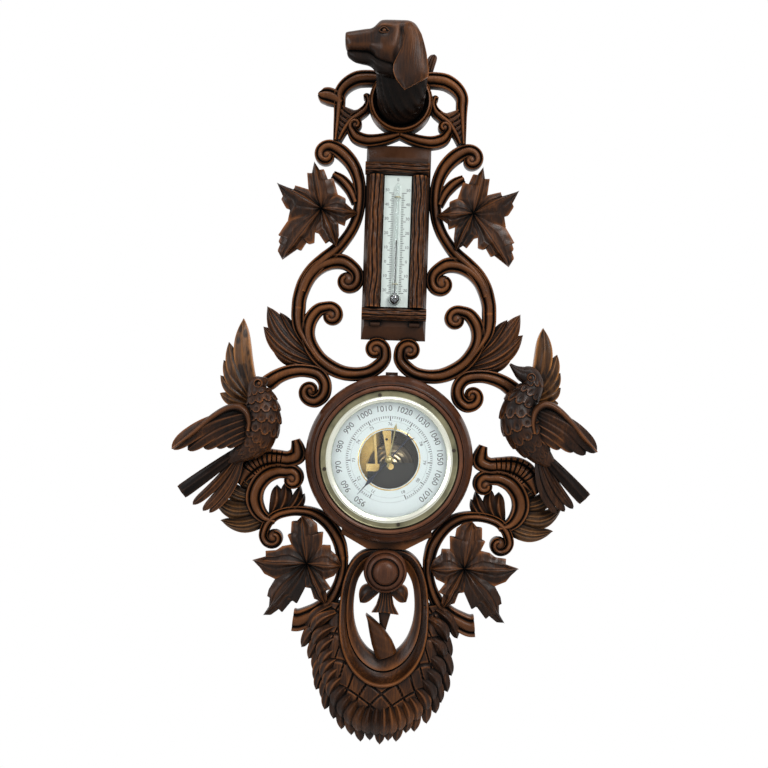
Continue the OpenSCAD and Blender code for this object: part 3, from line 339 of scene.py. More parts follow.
woods = {
    "walnut": ((0.008, 0.0034, 0.0019), (0.034, 0.0118, 0.004), (0.125, 0.043, 0.0115), {}),
    "dark_walnut": ((0.007, 0.0034, 0.0021), (0.028, 0.0105, 0.0041), (0.108, 0.0375, 0.0108), {}),
    "red_walnut": ((0.02, 0.008, 0.0045), (0.052, 0.019, 0.0095), (0.105, 0.038, 0.0165),
                   {"gloss": 0.28, "wear_and_highlight": 0.6}),
    "ochre_walnut": ((0.016, 0.0075, 0.0035), (0.06, 0.027, 0.0095), (0.15, 0.066, 0.021), {}),
    "spotted_walnut": ((0.024, 0.01, 0.004), (0.1, 0.042, 0.013), (0.24, 0.1, 0.029), {"spots": True}),
    "board_walnut": ((0.004, 0.002, 0.0014), (0.01, 0.0042, 0.0022), (0.028, 0.0108, 0.0046), {}),
    # Near black: the tail quill's own black, and on the hound's jaw painted shade.
    "black_walnut": ((0.004, 0.003, 0.0025), (0.009, 0.0052, 0.0038), (0.024, 0.012, 0.0075),
                     {"sheen": 0.09}),
}
finishes = {name: walnut(name, dark, middle, light, **extra)
            for name, (dark, middle, light, extra) in woods.items()}
print("wood finishes:", ", ".join(finishes))

# %% [markdown]
# ## Metal, enamel and glass
# The flange is lacquered brass that has gone dull and olive, with a painted bright reflection on the cove
# inside it, so its finish changes with the distance from the middle of the dial. The base plate is gilt,
# and its colour goes dark towards the right as painted shade. The hand is heat-blued, the dial is white
# enamel with a faint blue cast, and the thermometer plate is opal glass.

# %% Hard finishes
def brass(name, bright, dull, rough, cove_reflection=None, painted_dark_side=None):
    metal = Finish(name, Metallic=1.0)
    cloud = metal.noise(metal.place(), 55, 5, 0.6)
    fine = metal.noise(metal.place(), 900, 3, 0.6)
    color = metal.ramp(cloud, [(0.36, dull), (0.62, bright)])
    roughness = cloud * 0.2 + fine * 0.08 + (rough - 0.1)
    # The cove inside the flange takes a pale colour, which is a painted reflection, and is made smoother.
    if cove_reflection:
        centred = metal.node("ShaderNodeMapping", {}, {
            "Vector": metal.node("ShaderNodeTexCoord", out="Object"), "Location": (0, 0, HANG * MM),
            "Scale": (1, 0, 1)})
        reach = metal.node("ShaderNodeVectorMath", {"operation": "LENGTH"}, {0: centred}, out="Value")
        painted_cove_share = metal.node("ShaderNodeMapRange", {}, {0: reach, 1: 0.0662, 2: 0.0668, 3: 1.0, 4: 0.0})
        color = metal.mix(painted_cove_share, color, cove_reflection)
        roughness = roughness * (1 - painted_cove_share * 0.45)
    # Painted shade: the colour goes dark towards the right of the part.
    if painted_dark_side:
        at = metal.node("ShaderNodeTexCoord", out="Object")
        x = metal.node("ShaderNodeSeparateXYZ", {}, {"Vector": at}, out="X")
        painted_shade_share = metal.node("ShaderNodeMapRange", {}, {0: x, 1: -0.019, 2: -0.01, 3: 0.0, 4: 1.0})
        color = metal.mix(painted_shade_share, color, painted_dark_side)
    metal.feed(Base_Color=color, Roughness=roughness)
    metal.bump(fine, 0.0001, 0.25)
    return metal.material


def plain(name, color, tint, rough, metallic=0.0, coat=0.0):
    paint = Finish(name, Metallic=metallic, Coat_Weight=coat, Coat_Roughness=0.08)
    cloud = paint.noise(paint.place(), 24, 4, 0.55)
    fine = paint.noise(paint.place(), 300, 3, 0.6)
    paint.feed(Base_Color=paint.mix(cloud, color, tint), Roughness=fine * 0.12 + (rough - 0.06))
    paint.bump(fine, 0.00006, 0.3)
    return paint.material


def clear(name, tint):
    glass = Finish(name, IOR=1.45, Specular_IOR_Level=0.2, Transmission_Weight=1.0, Base_Color=(*tint, 1))
    smear = glass.noise(glass.place(), 40, 3, 0.5)
    glass.feed(Roughness=smear * 0.02 + 0.005)
    return glass.material


finishes["brass"] = brass("brass", (0.5, 0.42, 0.22), (0.27, 0.235, 0.125), 0.34)
# The pale colour given for the flange's cove is a painted reflection.
finishes["flange_brass"] = brass("flange_brass", (0.21, 0.195, 0.12), (0.12, 0.115, 0.072), 0.42,
                                 (0.72, 0.73, 0.63))
finishes["gilt"] = brass("gilt_brass", (0.9, 0.64, 0.27), (0.66, 0.43, 0.14), 0.22)
# The base plate is gilt on the left and dark towards the right, which is painted shade.
finishes["plate_brass"] = brass("plate_brass", (0.9, 0.6, 0.2), (0.6, 0.37, 0.11), 0.26,
                                painted_dark_side=(0.03, 0.022, 0.015))
finishes["opal"] = plain("opal", (0.62, 0.71, 0.68), (0.7, 0.78, 0.74), 0.2, coat=0.3)
finishes["clear_glass"] = clear("clear_glass", (0.96, 0.99, 0.98))
finishes["spirit"] = plain("spirit", (0.004, 0.005, 0.009), (0.012, 0.012, 0.018), 0.08, coat=1.0)
finishes["enamel"] = plain("enamel", (0.86, 0.93, 0.95), (0.92, 0.96, 0.97), 0.25, coat=0.4)
finishes["case_metal"] = plain("case_metal", (0.02, 0.016, 0.012), (0.05, 0.038, 0.024), 0.46, 0.6)
finishes["blued_steel"] = plain("blued_steel", (0.008, 0.013, 0.035), (0.013, 0.02, 0.055), 0.25, 0.6)
finishes["steel"] = plain("steel", (0.5, 0.5, 0.5), (0.62, 0.62, 0.6), 0.28, 1.0)
finishes["spring_steel"] = plain("spring_steel", (0.01, 0.008, 0.006), (0.024, 0.016, 0.011), 0.42, 0.2)
finishes["iron"] = plain("iron", (0.09, 0.08, 0.07), (0.13, 0.115, 0.1), 0.5, 0.8)
finishes["white_metal"] = plain("white_metal", (0.62, 0.56, 0.46), (0.74, 0.68, 0.56), 0.24, 1.0)
finishes["bronze"] = plain("bronze", (0.2, 0.15, 0.09), (0.36, 0.28, 0.18), 0.3, 1.0)
finishes["ink"] = plain("ink", (0.02, 0.021, 0.03), (0.035, 0.035, 0.045), 0.45)

slot_of = {p["node"]: p["material_slot"] for p in frame["record"]["subparts"]}
other_finish = {"bridge": "gilt", "main_lever": "gilt", "capsule_stud": "gilt", "rocker_posts": "gilt",
                "capsule": "bronze", "base_plate": "plate_brass", "thermometer_board": "board_walnut",
                "backing_board": "dark_walnut", "flange": "flange_brass", "flange_screws": "case_metal",
                "log_stubs": "black_walnut"}
for node_name, node_object in frame["nodes"].items():
    wanted = finishes[other_finish.get(node_name, slot_of[node_name])]
    if not node_object.material_slots:
        node_object.data.materials.append(wanted)
    for material_slot in node_object.material_slots:
        material_slot.material = wanted
print("finishes:", len(finishes))

# %% [markdown]
# ## Mouldings and volutes
# A scroll of the fretwork is rounded in front, with a groove on either side of its middle that leaves a
# bead along each edge. Where it ends, the strip winds round into its own knob like a comma, so the drawn
# line is carried on round the knob, closer and narrower, and a little higher than the turn below it.
# Strips and petals that cross have their backs at slightly different depths.

# %% Cross sections and curls
moulded = [(-0.86, 0), (-0.97, 0.2), (-1, 0.55), (-0.98, 0.74), (-0.9, 0.84), (-0.78, 0.87),
           (-0.66, 0.84), (-0.58, 0.77), (-0.53, 0.72), (-0.48, 0.79), (-0.38, 0.91), (-0.2, 0.98),
           (0, 1), (0.2, 0.98), (0.38, 0.91), (0.48, 0.79), (0.53, 0.72), (0.58, 0.77), (0.66, 0.84),
           (0.78, 0.87), (0.9, 0.84), (0.98, 0.74), (1, 0.55), (0.97, 0.2), (0.86, 0)]
SCROLL_FULL = 1.1
SCROLL_STEPS = 7
RING_POINTS = 28
ring_outline = [(math.sin(a), 0.5 - 0.5 * math.cos(a))
                for a in (math.tau * (k + 0.5) / RING_POINTS for k in range(RING_POINTS))]
CURL_LIFT = 1.6
CURL_STEPS = 9
CURL_TURNS = 0.86
CURL_END = 0.42
KNOB_DEPTH = 9.8
KNOB_HALF = 9.4


def curl(points, knob):
    """Carries a drawn strip on round its knob (x, y, r)."""
    x, y, r = knob
    ax, ay, width = points[-1][:3]
    away = Vector((ax - x, ay - y))
    back = Vector((ax - points[-2][0], ay - points[-2][1]))
    hand = 1 if away.cross(back) > 0 else -1
    start = math.atan2(away.y, away.x)
    out = list(points)
    for k in range(1, CURL_STEPS + 1):
        s = k / CURL_STEPS
        a = start + hand * math.tau * CURL_TURNS * s
        reach = CURL_END * r + (away.length - CURL_END * r) * (1 - s) ** 1.8
        out.append((x + reach * math.cos(a), y + reach * math.sin(a), r + (width - r) * (1 - s),
                    CURL_LIFT * s))
    return out


def scroll(bm, start, points, end, lo=0):
    """A moulded strip through drawn points (x, y, width), wound into a knob at either end."""
    points = [(*p, 0) for p in points]
    if start:
        points = curl(points[::-1], start)[::-1]
    if end:
        points = curl(points, end)
    rows = [(*seen(x, y, FRET_MID), w * SCROLL_FULL * shrink(FRET_MID), lo, FRET_T + lift)
            for x, y, w, lift in points]
    sweep(bm, smooth(rows, SCROLL_STEPS), moulded)
    for knob in (start, end):
        if knob:
            ball(bm, knob[0], knob[1], KNOB_DEPTH, knob[2], KNOB_HALF / knob[2])


def flip(points):
    """The same points on the other side of the middle line."""
    return [(-p[0], *p[1:]) for p in points]


def sided(side, points):
    return flip(points) if side == "left" else list(points)


def volute(side, *knob):
    """The knob (x, y, r) at the end of a scroll on that side."""
    return sided(side, [knob])[0]


print("moulding points:", len(moulded))

# %% [markdown]
# ## Petals
# Sprays, feathers and tufts are petals: a plate between two bulging edges, raised along its middle,
# with flutes that run from the root to the tip. One function cuts them all from a root, a tip, a width
# and a sideways bend.

# %% Petals
POINTED = [(0, 0.45), (0.12, 0.66), (0.3, 0.9), (0.5, 1), (0.66, 0.96), (0.8, 0.76), (0.91, 0.42), (1, 0)]
LONG = [(0, 0.6), (0.2, 0.85), (0.5, 1), (0.78, 0.98), (0.9, 0.8), (0.97, 0.45), (1, 0)]
TUFT = [(0, 0.5), (0.3, 0.85), (0.6, 1), (0.8, 0.86), (0.92, 0.55), (1, 0)]
BROAD = [(0, 1), (0.2, 1.05), (0.45, 1), (0.7, 0.76), (0.88, 0.42), (1, 0)]
SQUARE = [(0, 0.6), (0.3, 0.8), (0.7, 0.96), (0.97, 1), (1, 0.96)]
BACK_STEP = 0.3


def petal(bm, root, tip, width, bend, depth, lo, hi, flutes=2, cut=0.16, shape=POINTED,
          sink=0.35, cols=8, crown=0.4):
    root, run = Vector(root), Vector(tip) - Vector(root)
    side = Vector((-run.y, run.x)).normalized()
    fine = smooth(shape, 3)

    def edge(sign):
        out = []
        for t, w in fine:
            aside = run.length * bend * math.sin(math.pi * t) + sign * width / 2 * max(w, 0)
            out.append(root + run * t + side * aside)
        return out

    def front(t, u):
        dome = 1 - crown * (1 - math.cos(abs(u) * 1.3)) / 0.73
        groove = cut * (0.5 - 0.5 * math.cos(math.tau * flutes * abs(u))) * (1 - abs(u) ** 4)
        rib = 0.25 * cut * math.exp(-(u / 0.1) ** 2)
        along = 0.62 + 0.38 * math.sin(math.pi * min(1, t * 0.8 + 0.15)) - sink * max(0, t - 0.6)
        return lo + (hi - lo) * min(1, along * (dome - groove + rib))

    plate(bm, edge(1), edge(0), edge(-1), depth, lo, front, rows=24, cols=cols)


print("petal outlines:", len(POINTED), len(LONG), len(TUFT), len(BROAD), len(SQUARE))

# %% [markdown]
# ## Crest
# Two scrolls spring from the neck ring and turn over. Each runs down into a stem that widens into a
# fluted wedge, from which a hook curls back up against the ring. The feet cross under the ring and end in
# small volutes. The left scroll has a blunt horn, and a leaf tip stands behind the head at the right.

# %% Crest scrolls
crest_scroll = [(26, 408.5, 15), (36, 409, 15.5), (48, 407.3, 15.5), (59, 400.5, 14), (65.3, 391, 12.5),
                (65.7, 380, 11.5), (66.3, 370, 9.5), (67.3, 356, 7.5), (68.5, 340.8, 5)]
crest_hook = [(40, 388.3, 3), (36.4, 388.8, 6.5), (34.5, 383, 7.5), (37, 375.5, 9.5), (44, 369.3, 10),
              (52.5, 362.5, 9.5), (60, 352, 8), (65, 341.5, 6)]
wedge_outer = [(66.5, 341), (67.5, 356), (66.5, 368), (62, 377.5)]
wedge_middle = [(66.5, 341), (59, 355), (53, 364), (51.5, 373.3)]
wedge_inner = [(65, 341.5), (60, 352), (52.5, 362.5), (46, 367.5), (42.5, 374.5)]
crest_foot = [(1, 349.5, 9), (12, 345.6, 11), (24, 342.6, 12), (36, 341.8, 13), (46.5, 345.4, 12.5),
              (52, 352.5, 9.5)]
crest_horn = [(-64, 381, 11), (-70, 385.5, 15.5), (-78, 388.3, 17), (-84.5, 388.6, 13), (-88.6, 389.4, 4)]
crest_tuft = [(28, 410), (34.5, 437.5)]


def wedge_front(t, u):
    return 17.4 - 2 * min(1, 2 * t) * math.exp(-(((t * 6.5 - 0.6 * u * u) % 1 - 0.5) / 0.16) ** 2)


for side in ("left", "right"):
    bm = bmesh.new()
    plate(bm, *(sided(side, line) for line in (wedge_outer, wedge_middle, wedge_inner)), FRET_MID, 0.4,
          wedge_front, rows=80)
    scroll(bm, None, sided(side, crest_scroll), None)
    scroll(bm, None, sided(side, crest_hook), None, lo=0.3)
    scroll(bm, None, sided(side, crest_foot), volute(side, 47.5, 358, 6))
    if side == "left":
        scroll(bm, None, crest_horn, None, lo=0.6)
    else:
        petal(bm, *crest_tuft, 10, 0.05, FRET_MID, 6, 16, shape=LONG)
    carve("crest_carving_" + side, bm, ["crest_" + side], finishes["walnut"])

# %% [markdown]
# ## Neck ring
# The collar of the hound is a turned oval with two fine grooves, so one moulding goes round it in a
# closed sweep.

# %% Neck ring
ring_moulding = [(1, 0), (1, 0.4), (0.97, 0.66), (0.86, 0.82), (0.7, 0.9), (0.62, 0.86), (0.55, 0.93),
                 (0.36, 0.99), (0.12, 1), (-0.12, 0.95), (-0.3, 0.86), (-0.38, 0.8), (-0.44, 0.84),
                 (-0.62, 0.78), (-0.82, 0.66), (-0.96, 0.5), (-1, 0.3), (-1, 0)]
RING_R = 29.5
RING_PARTS = 96
ring_rows = []
for k in range(RING_PARTS + 1):
    a = math.tau * k / RING_PARTS
    ring_rows.append((RING_R * math.sin(a), HANG + RING_R * math.cos(a), 9.8, 0, 26))
bm = bmesh.new()
sweep(bm, ring_rows, ring_moulding, loop=True)
carve("neck_collar", bm, ["neck_ring"], finishes["walnut"])

# %% [markdown]
# ## Side scrolls
# The long stem hangs beside the thermometer. Halfway down it throws off an inner curl, and higher up the
# stalk that carries the vine leaf.

# %% Side scrolls
stem = [(71.5, 333.5, 14), (62, 328.5, 15), (52.5, 319.5, 14.5), (46, 309, 13.5), (42, 297, 12.5),
        (40.5, 284, 11.8), (41, 270, 11.5), (43.5, 257, 11), (49, 244, 11), (57, 232, 11.5),
        (66, 222, 13), (77, 212.5, 14), (88, 201, 15), (96.5, 187, 15), (101.5, 171, 14),
        (102.4, 160, 14)]
leaf_stalk = [(70, 304, 8), (60, 298, 11), (51, 288, 11), (45, 275, 9)]
inner_curl = [(98, 178, 11), (92, 193, 13), (82, 204, 14), (69, 210.5, 15), (56, 211, 15),
              (45.5, 205, 13)]
for side in ("left", "right"):
    bm = bmesh.new()
    scroll(bm, volute(side, 77.3, 323.8, 8), sided(side, stem), None)
    scroll(bm, None, sided(side, leaf_stalk), None, lo=0.3)
    scroll(bm, None, sided(side, inner_curl), volute(side, 51.3, 191, 9.5), lo=0.6)
    carve("side_carving_" + side, bm, ["side_scroll_" + side], finishes["walnut"])

# %% [markdown]
# ## Cradle scrolls
# The stem ends in the great scroll that cradles the dial. A spray of acanthus grows from it on the
# outside, and a smaller scroll leaves it for the bird's beak.

# %% Cradle scrolls and sprays
def spray(bm, side, petals, lo, rise, flutes=2, shape=POINTED):
    sign = -1 if side == "left" else 1
    for k, (root, tip, width, bend) in enumerate(petals):
        root, tip = sided(side, [root, tip])
        petal(bm, root, tip, width, sign * bend, FRET_MID, lo + BACK_STEP * k, lo + rise, flutes, 0.1,
              shape)


stem_foot = [(102.4, 160, 14), (102.5, 150, 13.5), (100.5, 138, 12), (94, 126, 10), (86, 114, 8),
             (78, 104, 6)]
cradle = [(72.5, 161.5, 12), (81, 158.5, 13), (88.5, 149, 14), (91.5, 138, 14), (90.5, 127, 14),
          (85.5, 116, 14.5), (77, 105.5, 14.5), (65, 97, 15), (52, 92, 14.5), (38, 91, 14),
          (25, 93.5, 14), (15, 100, 14), (8.6, 108, 13), (8.3, 117.5, 12)]
bird_scroll = [(80, 61, 13), (72.5, 68, 13.5), (71.5, 80, 13), (79, 90, 13.5), (94, 93, 13),
               (108, 91.5, 14), (121, 86.5, 15), (131, 79.5, 16.5), (134.5, 76.5, 15)]
acanthus = [((88, 112), (122.5, 155), 17, -0.07), ((84, 106), (136.5, 161), 23, -0.1),
            ((82, 102), (140, 139), 21, -0.1), ((82, 99), (131, 119.5), 17, -0.09),
            ((84, 97), (117.5, 106), 13, -0.07)]
for side in ("left", "right"):
    bm = bmesh.new()
    scroll(bm, None, sided(side, stem_foot), None, lo=0.3)
    scroll(bm, volute(side, 67, 152.5, 9), sided(side, cradle), volute(side, 18.5, 117.5, 9))
    scroll(bm, volute(side, 86, 72, 7), sided(side, bird_scroll), None, lo=0.6)
    spray(bm, side, acanthus, 1, 16)
    carve("cradle_carving_" + side, bm, ["cradle_scroll_" + side], finishes["walnut"])

# %% [markdown]
# ## Perches
# A bough runs out from the dial under each bird. Saw cuts cross it where the bird stands, so the strip's
# own height drops at each cut. Below it a ring scroll curls round a small spray, and a larger spray
# grows outwards. The arch springs from there.

# %% Perches and lower scrolls
perch_bough = [(101, 18.5, 9), (98.5, 10, 15), (98.5, 2, 19.5), (108, -2.5, 17.5), (120, -2, 18.5),
               (134, -3, 23), (146, -9, 25), (154, -19, 20), (158, -31, 6)]
perch_ring = [(109, -15.5, 14), (120, -15.5, 16), (132, -21.5, 17), (140.5, -33, 17), (143, -46, 17),
              (139, -58, 15), (131, -66, 11), (120, -69, 7)]
inner_spray = [((124, -62), (120, -31), 15, 0.1), ((119, -63), (110, -27), 14, 0.12),
               ((113, -62), (94, -31), 12, 0.12), ((106, -60), (89.5, -39.5), 10, 0.1)]
outer_spray = [((144, -34), (165, -12), 14, -0.1), ((146, -46), (179.5, -20), 17, -0.18),
               ((142, -57), (188.5, -44), 19, -0.18), ((132, -68), (179, -71), 17, -0.12)]
arch = [(130.5, -78, 9.5), (126.5, -70, 10), (118, -62.5, 10), (106, -58.5, 10), (94, -57.5, 10),
        (80, -59.5, 11), (66.5, -66.5, 13), (56.5, -78, 13), (49.5, -92, 13), (46.5, -106, 12)]
lower_stem = [(46.5, -106, 12), (46.5, -122, 11), (50.5, -138, 12), (58, -152, 14), (70, -164, 17),
              (84, -172, 19.5), (92, -175, 21), (97.4, -174.8, 21.5)]
CUT_FROM = 0.42
CUT_TO = 0.84
CUT_STEP = 0.045
CUT_DEPTH = 2.4
for side in ("left", "right"):
    bm = bmesh.new()
    rows = smooth(drawn(sided(side, perch_bough), FRET_MID, 0, FRET_T), 16)
    last = len(rows) - 1
    sawn = []
    for k, (x, y, w, lo, hi) in enumerate(rows):
        run = k / last
        cut = CUT_FROM < run < CUT_TO and (run / CUT_STEP) % 1 < 0.24
        sawn.append((x, y, w, lo, hi - CUT_DEPTH * cut))
    sweep(bm, sawn, moulded)
    scroll(bm, volute(side, 103.5, -24, 8.5), sided(side, perch_ring), None)
    scroll(bm, volute(side, 120.5, -86.5, 8.5), sided(side, arch), None, lo=0.3)
    spray(bm, side, inner_spray, 2, 15, flutes=1)
    carve("perch_carving_" + side, bm, ["perch_" + side], finishes["walnut"])
    bm = bmesh.new()
    spray(bm, side, outer_spray, 1, 16, shape=BROAD)
    carve("outer_spray_" + side, bm, [], finishes["ochre_walnut"])
    bm = bmesh.new()
    scroll(bm, None, sided(side, lower_stem), None)
    carve("lower_carving_" + side, bm, ["lower_scroll_" + side], finishes["walnut"])

# %% [markdown]
# ## Vine leaves
# Five toothed lobes meet in one sharp point. Each is a plate with a left and a right edge, drawn once
# from the root to the tip through its teeth, and laid along that leaf's own lobe. A pair of thin ribs
# runs up the middle, and a fine vein runs out to every tooth.

# %% Vine leaves
LEAF_DEPTH = 28
LEAF_LIFT = 12.6
LOBE_STEP = 0.2
upper_leaf = [
    ((-9.2, 50.3),
     [(-10.5, 8.5), (-14.5, 20), (-16.5, 37.7), (-11.5, 37)],
     [(9, 8), (17.5, 15.5), (12, 33), (6.5, 30.5), (1.5, 42.5), (-2.5, 40.5)]),
    ((39, -4),
     [(7, 10), (17.5, 15.5), (26, 11.5), (25.5, 7)],
     [(9, -8.5), (18, -15), (25.8, -18), (27, -12)]),
    ((17.4, -40),
     [(10, -5), (19, -15), (20, -28)],
     [(-2, -9), (-6, -26), (-2, -27), (5.8, -38), (8, -34)]),
    ((-40.3, -56.5),
     [(1, -9), (-6, -26), (-6.2, -37.5), (-12.6, -39.3), (-13.5, -35), (-20.6, -46.7), (-23.4, -43.9)],
     [(-12, -4.5), (-35.7, -14.7), (-45.7, -30.8), (-42.5, -31), (-45, -37.7), (-43, -40), (-45.7, -47)]),
    ((-48.6, 25.7),
     [(-11, -8), (-35.7, -14.7), (-33.4, -2.5), (-38, -1), (-43.7, 8.5), (-41, 10)],
     [(-8, 11.5), (-14.5, 20), (-29, 23.8), (-29.5, 19)])]
lower_leaf = [
    ((-7.2, 50.7),
     [(-10.5, 8.5), (-17.3, 19.4), (-22, 30.2), (-18.3, 31.5), (-18, 44.6), (-13, 44.5)],
     [(9, 8), (15.8, 20.1), (16.5, 34.5), (10.8, 32.4), (9.4, 42.4), (2, 48.6)]),
    ((36.7, -1.4),
     [(7, 10), (15.8, 20.1), (24.8, 20.1), (25.5, 14), (33, 8)],
     [(9, -8.5), (19, -17.5), (30, -12.5)]),
    ((20.9, -43.2),
     [(10, -5), (19, -16), (26.6, -26.6), (21.4, -29), (23, -38)],
     [(-2, -9), (-0.7, -25.9), (5, -26.6), (9, -38), (14.5, -40)]),
    ((-45.3, -57.4),
     [(1, -9), (-0.7, -25.9), (-9.3, -43.9), (-14.4, -40.3), (-25.2, -54), (-28, -50), (-37, -57)],
     [(-12, -4.5), (-33.8, -18), (-40.3, -29.5), (-41.7, -37), (-38.8, -37.8), (-39.5, -48)]),
    ((-58.6, 1.4),
     [(-11, -8), (-33.8, -18), (-45.3, -12.9), (-51, -5.8)],
     [(-8, 11.5), (-17.3, 19.4), (-27.3, 17.3), (-33.8, 12.6), (-45, 11.5), (-44.2, 5.8)])]
leaf_places = {"upper": ((-82, 268.5), upper_leaf), "lower": ((-84.8, -114.4), lower_leaf)}


def leaf_front(t, u):
    ribs = 0.1 * math.exp(-((abs(u) - 0.1) / 0.05) ** 2)
    inner_vein = 0.1 * math.exp(-((abs(u) - 0.34) / 0.09) ** 2)
    outer_vein = 0.06 * math.exp(-((abs(u) - 0.66) / 0.07) ** 2)
    fall = 0.88 - 0.46 * abs(u) - inner_vein - outer_vein
    veins = 0.03 * abs(u) * math.cos(math.tau * (t * 5 - abs(u) * 0.6))
    arch_of_lobe = 0.5 + 0.5 * math.sin(math.pi * (t * 0.82 + 0.06))
    return FRET_T + LEAF_LIFT * arch_of_lobe * (fall + ribs + veins) + 0.4


for level, (centre, lobes) in leaf_places.items():
    for side in ("left", "right"):
        sign = 1 if side == "left" else -1
        bm = bmesh.new()
        for k, (tip, one, other) in enumerate(lobes):
            runs = []
            for teeth in (one, [], other):
                points = [(0, 0)] + teeth + [tip]
                runs.append([(sign * (centre[0] + x), centre[1] + y) for x, y in points])
            plate(bm, *runs, LEAF_DEPTH, FRET_T + LOBE_STEP * k, leaf_front, rows=44, cols=9)
        name = "vine_leaf_%s_%s" % (level, side)
        carve(name + "_carving", bm, [name], finishes["dark_walnut"], crisp=24)

# %% [markdown]
# ## Birds
# Each bird has a rounded body, carved all over in overlapping round scales, a near wing of long feathers
# under a rolled shoulder, and a tail of one black quill over three brown feathers. The scales are domes
# laid like bricks, and the body's outline swells by their height. The far wing is a spotted fan behind.

# %% Bird shapes
BIRD_DEPTH = 35
SCALE_ROWS = 12
SCALES_ROUND = 11
BODY_POINTS = 132
EYE_R = 2.4
left_body = [(-133, 82, 4, 32, 40), (-138, 79.5, 13, 24, 46), (-142, 76, 22, 20, 50),
             (-142, 69, 25, 20, 51), (-139, 59, 32, 20, 54), (-137, 47, 37, 20, 56),
             (-137, 34, 38, 20, 56), (-141, 20, 35, 20, 54), (-149, 10, 28, 20, 49),
             (-160, 2, 19, 20, 42), (-174, -7, 11, 20, 34)]
right_body = [(126.5, 107.5, 2.5, 34, 38), (132, 102.5, 8, 31, 42), (139, 98, 16, 26, 46),
              (148, 94, 23, 21, 50), (151, 84, 24, 20, 51), (145, 74, 29, 20, 52), (139, 63, 37, 20, 54),
              (138, 50, 41, 20, 56), (142, 38, 41, 20, 56), (149, 27, 36, 20, 54), (158, 17, 29, 20, 48),
              (167, 8, 20, 20, 41), (178, -1, 10, 20, 33)]
left_near = [((-152, 46), (-233, 5), 17, -0.07), ((-152, 40), (-216, 4), 15, -0.05),
             ((-151, 34), (-199, 6.5), 14, -0.04), ((-150, 28), (-186, 8), 12, -0.03),
             ((-149, 22), (-175, 9), 10, -0.02)]
right_near = [((156, 59), (221.5, 16), 17, 0.07), ((155, 52), (210, 13), 15, 0.05),
              ((154, 45), (198, 16), 14, 0.04), ((153, 38), (184, 19), 13, 0.03),
              ((152, 32), (172, 18), 11, 0.02)]
left_band = [(-150.5, 27, 5), (-150, 37, 7), (-154, 47, 8), (-163, 52, 8), (-176, 49, 7.5), (-192, 38, 7),
             (-210, 22, 6), (-230, 6, 2)]
right_band = [(153, 34, 5), (151, 46, 7), (154, 58, 8), (163, 65, 8), (175, 62, 7.5), (190, 49, 7),
              (206, 31, 6), (220, 17, 2)]
left_tail = [((-160, 6), (-223.5, -42.5), 16, 0, SQUARE), ((-163, -1), (-211, -56), 10, 0.04, LONG),
             ((-162, -4), (-200, -62.5), 10, 0.06, LONG), ((-160, -5), (-193, -64.5), 9, 0.09, LONG)]
right_tail = [((165, 12), (213.5, -36), 16, 0, SQUARE), ((166, 5), (201, -47), 10, -0.04, LONG),
              ((164, 3), (192, -50.5), 10, -0.06, LONG), ((161, 2), (183, -53), 9, -0.09, LONG)]
left_raised = [((-146, 62), (-161, 147), 19, 0.07), ((-149, 61), (-176, 121), 15.5, 0.08),
               ((-150, 60), (-181, 101.5), 14, 0.08), ((-151, 58), (-184, 85), 13, 0.08),
               ((-152, 55), (-184, 66), 12.5, 0.07)]
right_raised = [((152, 76), (161, 147), 19, -0.07), ((154, 74), (177, 119), 15.5, -0.08),
                ((156, 72), (181, 99.5), 14, -0.08), ((157, 69), (182, 83.5), 13, -0.08),
                ((158, 65), (180, 67), 12.5, -0.07)]


def scale_height(t, a):
    """Height of the carved scales at a share t of the body and an angle a round it, none on the head."""
    p = t * SCALE_ROWS
    q = a / math.tau * SCALES_ROUND + 0.5 * (int(p) % 2)
    across, run = (q % 1 - 0.5) * 2, p % 1
    rim = 0.45 + 0.55 * math.sqrt(1 - across * across)
    lift = 0.25 + 0.75 * run / rim if run < rim else 0.2
    pit = math.exp(-(across / 0.28) ** 2 - ((run - 0.55) / 0.17) ** 2)
    share = min(1, max(0, (t - 0.27) / 0.06)) * min(1, max(0, (0.98 - t) / 0.08))
    return share * (0.12 * lift - 0.09 * pit - 0.04)


def scaled(t):
    outline = []
    for k in range(BODY_POINTS):
        a = math.tau * (k + 0.5) / BODY_POINTS
        r = 1 + scale_height(t, a)
        outline.append((r * math.sin(a), 0.5 - 0.5 * r * math.cos(a)))
    return outline


